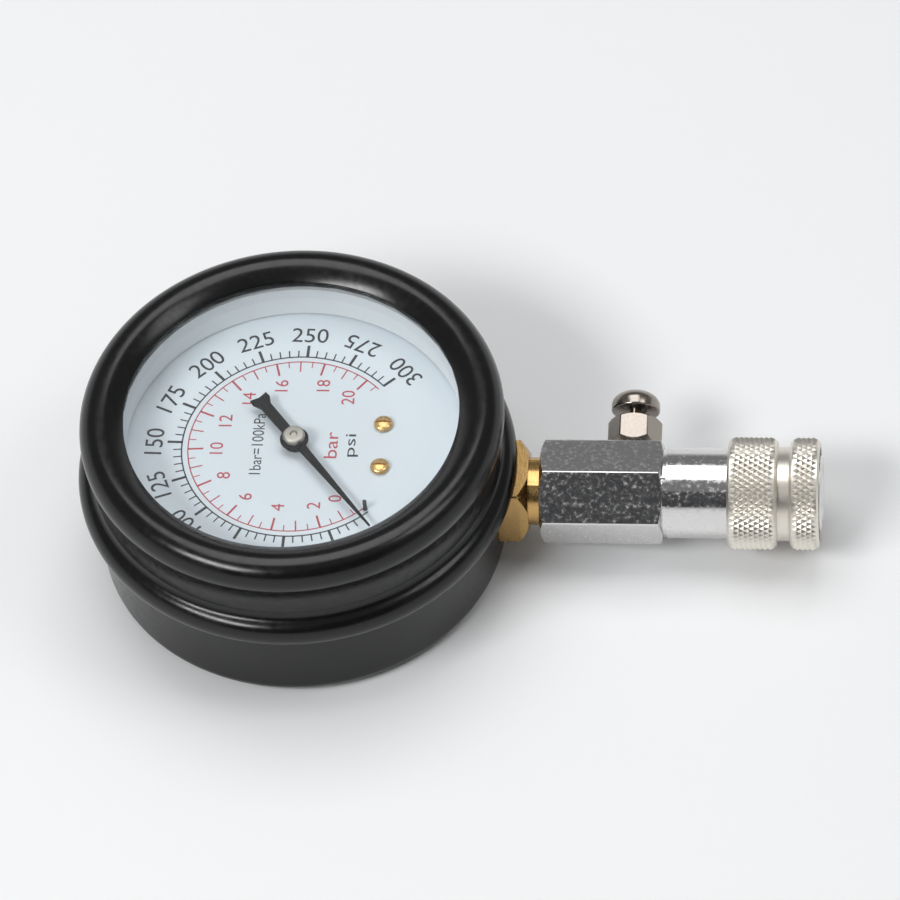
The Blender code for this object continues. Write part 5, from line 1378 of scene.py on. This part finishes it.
@dataclass
class Sleeve:
    """The knurled sleeve of the quick coupler and the balls that it locks."""

    start: float = 81.35
    end: float = 98.6
    radius: float = 10.65
    groove_radius: float = 8.9
    groove_start: float = 90.6
    groove_end: float = 93.1
    groove_edge: float = 0.2
    edge: float = 0.4
    skirt_bore: float = 8.9
    land_start: float = 89.5
    land_end: float = 92.2
    ramp: float = 1.4
    relief: float = 8.2
    bore: float = 7.5
    lip_start: float = 96.3
    lip_end: float = 97.0
    mouth: float = 8.8
    knurl_pitch: float = 1.2
    knurl_step: float = 0.85
    knurl_height: float = 0.42
    knurl_sunk: float = 0.03
    ball_radius: float = 1.6
    ball_orbit: float = 5.75

    def profile(self) -> list[Point]:
        """The sleeve's section, with its two bands turned down to the knurl's roots."""
        root = self.radius - self.knurl_height
        edge, small = self.edge, self.groove_edge
        floor, inset = self.groove_radius, root - edge
        section = [(self.mouth, self.end), (inset, self.end)]
        section += walls((root, self.end - edge, self.groove_end + edge))
        section += [(inset, self.groove_end), (floor + small, self.groove_end)]
        section += walls((floor, self.groove_end - small, self.groove_start + small))
        section += [(floor + small, self.groove_start), (inset, self.groove_start)]
        section += walls((root, self.groove_start - edge, self.start + edge))
        section.append((inset, self.start))
        section += walls(
            (self.skirt_bore, self.start, self.land_start),
            (self.bore, self.land_start, self.land_end),
            (self.relief, self.land_end + self.ramp, self.lip_start),
            (self.bore, self.lip_start, self.lip_end),
        )
        return [*section, (self.mouth, self.lip_end)]

    def knurl(self, recipe: Recipe, start: float, end: float, stem: Stem) -> Solid:
        """Roll the knurl on one band.

        Args:
            recipe: The knurl's recipe.
            start: Where the band starts along the stem.
            end: Where it ends.
            stem: The stem that the sleeve slides on.

        Returns:
            The band's pyramids.
        """
        columns = int(2 * pi * self.radius / self.knurl_pitch)
        room = end - start - 2 * self.edge
        rows = int(room / self.knurl_step) - 1
        step = room / (rows + 1)
        root = self.radius - self.knurl_height
        return recipe.run(
            KNURL_NICKEL,
            Columns=columns,
            Rows=rows,
            Radius=root - self.knurl_sunk,
            Start=start + self.edge + step,
            Row_Step=step,
            Half_Width=pi * root / columns,
            Height=self.knurl_height + self.knurl_sunk,
            Axis_Level=stem.level,
        )

    def build(self, stem: Stem) -> None:
        """Make the sleeve and its balls."""
        recipe = knurl_recipe()
        sleeve = Solid.lathe(self.profile(), 192, ring=True).moved(stem.along)
        for start, end in ((self.start, self.groove_start), (self.groove_end, self.end)):
            sleeve.with_mesh(self.knurl(recipe, start, end, stem).mesh)
        sleeve.publish("knurled_sleeve", KNURL_NICKEL, "sleeve", ("coupler_sleeve",))
        for number in range(1, 5):
            self.ball(number, stem)

    def ball(self, number: int, stem: Stem) -> None:
        """Make one locking ball."""
        place = stem.ball_frame(90 * (number - 1)) @ placed((0, 0, self.ball_orbit))
        cage = bmesh.new()
        bmesh.ops.create_icosphere(cage, subdivisions=4, radius=self.ball_radius)
        ball = Solid.from_cage(cage).moved(place)
        ball.publish(f"lock_ball_{number}", BRIGHT_STEEL, f"ball_{number}", (f"locking_ball_{number}",))


@dataclass
class Valve:
    """The release valve: its hexagon housing and the domed button on its stem."""

    flats: float = 9.0
    base_radius: float = 4.0
    base_height: float = 1.5
    hex_top: float = 5.75
    hex_chamfer: float = 0.5
    hex_edge: float = 0.2
    shank_radius: float = 3.5
    shank_length: float = 4.4
    pocket: float = 3.1
    pocket_depth: float = 2.0
    button_radius: float = 4.6
    button_edge: float = 0.4
    underside: float = 7.6
    rim: float = 9.0
    top: float = 11.8
    stem_radius: float = 1.1
    stem_end: float = 6.05
    gap: float = 0.3

    def build(self, stem: Stem) -> None:
        """Make the housing and the button.

        Args:
            stem: The stem whose hexagon they stand in.
        """
        face = stem.hex_flats / 2
        self.build_housing(stem, face)
        self.build_button(stem, face)

    def build_housing(self, stem: Stem, face: float) -> None:
        """Mill the housing's hexagon, turn its shank and bore it."""
        corner = self.flats / 2 / cos(pi / 6)
        seat, low, high = face + self.gap, face + self.base_height, face + self.hex_top
        blank = [(0, high), (self.flats / 2, high), (corner, high - self.hex_chamfer), (corner, low)]
        blank += [(self.base_radius, seat), (0, seat)]
        hexagon = Solid.prism(6, self.flats, seat - PAST, high + PAST, self.hex_edge)
        housing = Solid.lathe(blank, 128).within(hexagon)
        end = face - self.shank_length
        housing.joined(Solid.lathe(stepped(seat + PAST / 2, (self.shank_radius, end)), 96))
        hole = (self.stem_radius + self.gap, end - PAST)
        bore = stepped(high + PAST, (self.pocket, high - self.pocket_depth), hole)
        housing.less(Solid.lathe(bore, 96)).moved(stem.valve_axis)
        housing.publish("valve_housing", WORN_NICKEL, nodes=("release_housing",))

    def build_button(self, stem: Stem, face: float) -> None:
        """Turn the domed button with its stem."""
        rim, crown = face + self.rim, self.top - self.rim
        under, end, edge = face + self.underside, face - self.stem_end, self.button_edge
        turn = [radians(a) for a in range(0, 91, 6)]
        dome = [(self.button_radius * sin(a), rim + crown * cos(a)) for a in turn]
        dome[0] = (0, face + self.top)
        button = dome + arc((self.button_radius - edge, under + edge), edge, 0, -90, 6)
        button += [(self.stem_radius, under), (self.stem_radius, end), (0, end)]
        cap = Solid.lathe(button, 128).moved(stem.valve_axis)
        cap.publish("valve_button", WORN_NICKEL, "release_button", ("release_button",))


class Innards:
    """The CAD nodes that are shown as they are: the movement, the case and the small fittings."""

    def dress(self) -> None:
        """Give each CAD node that still shows the finish of its record slot."""
        slots = {part["node"]: part["material_slot"] for part in frame["record"]["subparts"]}
        for name, node in frame["nodes"].items():
            if node.hide_render:
                continue
            finish = SLOT_FINISHES[slots[name]]
            node.data.materials.clear()
            node.data.materials.append(finish.material())
            log.info("%s keeps its CAD shape, in %s", name, finish.name)


@dataclass(frozen=True)
class Softbox:
    """A softbox: where it hangs, its level side, its other side and its power."""

    name: str
    place: Place
    wide: float
    high: float
    power: float


@dataclass
class Studio:
    """A pale floor, soft light and the camera at the photograph's angle.

    Lengths are in metres, but the camera's sensor is in millimetres. Angles are in degrees.
    """

    backdrop: str = "#F6F7F8"
    matt: float = 0.9
    floor_side: float = 6.0
    floor_drop: float = 0.0002
    floor_fade: Point = (0.3, 1.1)
    backdrop_level: float = 0.92
    sky_level: float = 0.22
    horizon: Point = (0.12, 0.42)
    camera_place: Place = (0.14803, -0.82163, 1.07023)
    camera_target: Place = (0.02804, 0.00835, 0.015)
    camera_roll: float = -5.885
    camera_field: float = 7.263
    sensor: float = 36.0
    nearest: float = 0.01
    lamps: tuple[Softbox, ...] = (
        Softbox("overhead", (-0.06, 0.32, 1.21), 0.9, 0.85, 6.6),
        Softbox("key", (-0.585, -0.65, 0.96), 0.6, 0.28, 8.0),
        Softbox("right_fill", (0.68, -0.02, 1.0), 0.4, 0.4, 1.5),
    )
    card_place: Place = (0.15, -1.1, 0.78)
    card_size: Point = (1.9, 1.0)
    card_shade: str = "#4A4B4D"

    def build(self) -> None:
        """Set the floor, the world, the lamps, the dark card and the camera."""
        bpy.context.scene.view_settings.view_transform = "Standard"
        self.lay_floor()
        self.light_world()
        for lamp in self.lamps:
            self.hang_lamp(lamp)
        self.stand_card()
        self.place_camera()

    def lay_floor(self) -> None:
        """Lay the floor that takes the gauge's shadow."""
        floor = self.sheet("floor", (self.floor_side, self.floor_side), self.floor_paper())
        floor.location.z = -self.floor_drop

    def sheet(self, name: str, size: Point, material: Material) -> Object:
        """Make a flat rectangle of the studio about the origin.

        Args:
            name: Its name.
            size: Its sides.
            material: Its material.

        Returns:
            The rectangle.
        """
        wide, high = (side / 2 for side in size)
        mesh = bpy.data.meshes.new(name)
        corners = [(-wide, -high, 0), (wide, -high, 0), (wide, high, 0), (-wide, high, 0)]
        mesh.from_pydata(corners, [], [(0, 1, 2, 3)])
        mesh.materials.append(material)
        made = linked(name, mesh)
        return made

    def aim(self, made: Object, place: Place) -> None:
        """Put a lamp or a card in its place, facing the gauge."""
        made.location = place
        made.rotation_mode = "QUATERNION"
        made.rotation_quaternion = Vector(place).to_track_quat("Z", "Y")

    def floor_paper(self) -> Material:
        """Seamless paper, which takes the shadow near the gauge and turns into the backdrop further away.

        Returns:
            The floor's material.
        """
        made = Finish("studio_floor_paper", self.backdrop, self.matt).material()
        tree = made.node_tree
        place = add_node(tree, "ShaderNodeTexCoord").outputs["Object"]
        away = add_node(tree, "ShaderNodeVectorMath", {0: place}, operation="LENGTH").outputs["Value"]
        fade = remap(tree, away, *self.floor_fade, interpolation_type="SMOOTHSTEP")
        rays = add_node(tree, "ShaderNodeLightPath").outputs
        seen = maths(tree, "MAXIMUM", rays["Is Camera Ray"], rays["Is Glossy Ray"])
        seen = maths(tree, "MAXIMUM", seen, rays["Is Transmission Ray"])
        share = maths(tree, "MULTIPLY", seen, fade)
        pale = {"Color": hex_to_linear(self.backdrop), "Strength": self.backdrop_level}
        pale = add_node(tree, "ShaderNodeEmission", pale).outputs[0]
        mixed = {0: share, 1: tree.nodes["Principled BSDF"].outputs[0], 2: pale}
        mixed = add_node(tree, "ShaderNodeMixShader", mixed).outputs[0]
        tree.links.new(mixed, tree.nodes["Material Output"].inputs["Surface"])
        return made

    def light_world(self) -> None:
        """Show the pale backdrop to the camera and to glass, and low round the horizon to what is glossy."""
        world = bpy.data.worlds.new("studio")
        bpy.context.scene.world = world
        world.use_nodes = True
        tree = world.node_tree
        rays = add_node(tree, "ShaderNodeLightPath").outputs
        plain = maths(tree, "MAXIMUM", rays["Is Camera Ray"], rays["Is Transmission Ray"])
        shown = maths(tree, "MULTIPLY", plain, self.backdrop_level)
        heading = add_node(tree, "ShaderNodeTexCoord").outputs["Generated"]
        height = add_node(tree, "ShaderNodeSeparateXYZ", {0: heading}).outputs["Z"]
        rim = remap(tree, height, *self.horizon, self.backdrop_level, 0.0)
        seen = maths(tree, "MULTIPLY_ADD", rays["Is Glossy Ray"], rim, shown)
        strength = maths(tree, "MAXIMUM", seen, self.sky_level)
        background = tree.nodes["Background"]
        background.inputs["Color"].default_value = hex_to_linear(self.backdrop)
        tree.links.new(strength, background.inputs["Strength"])

    def hang_lamp(self, lamp: Softbox) -> None:
        """Hang one softbox, aimed at the gauge."""
        light = bpy.data.lights.new(lamp.name, "AREA")
        light.shape = "RECTANGLE"
        light.size = lamp.wide
        light.size_y = lamp.high
        light.energy = lamp.power
        self.aim(linked(lamp.name, light), lamp.place)

    def stand_card(self) -> None:
        """Stand a dark card behind the camera, which only the bright metal shows."""
        shade = Finish("studio_card_black", self.card_shade, self.matt).material()
        card = self.sheet("dark_card", self.card_size, shade)
        self.aim(card, self.card_place)
        card.visible_camera = card.visible_diffuse = card.visible_shadow = card.visible_transmission = False

    def place_camera(self) -> None:
        """Stand the camera where the photograph was taken from, closer by its lens."""
        data = bpy.data.cameras.new("camera")
        data.sensor_width = self.sensor
        data.lens = self.sensor / 2 / tan(radians(self.camera_field / 2))
        data.clip_start = self.nearest
        camera = linked("camera", data)
        camera.location = self.camera_place
        looking = Vector(self.camera_target) - Vector(self.camera_place)
        roll = Matrix.Rotation(radians(self.camera_roll), 3, "Z")
        turn = looking.to_track_quat("-Z", "Y").to_matrix() @ roll
        camera.rotation_euler = turn.to_euler()
        bpy.context.scene.camera = camera


def main() -> None:
    """Build the gauge's pieces, its finishes and the studio."""
    logging.basicConfig(level=logging.INFO, format="%(message)s")
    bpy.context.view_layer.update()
    Boot().build()
    Glazing().build()
    dial = Dial()
    dial.build()
    Needle().build(dial)
    stem = Stem()
    stem.build()
    Sleeve().build(stem)
    Valve().build(stem)
    Innards().dress()
    Studio().build()


if __name__ == "__main__":
    main()
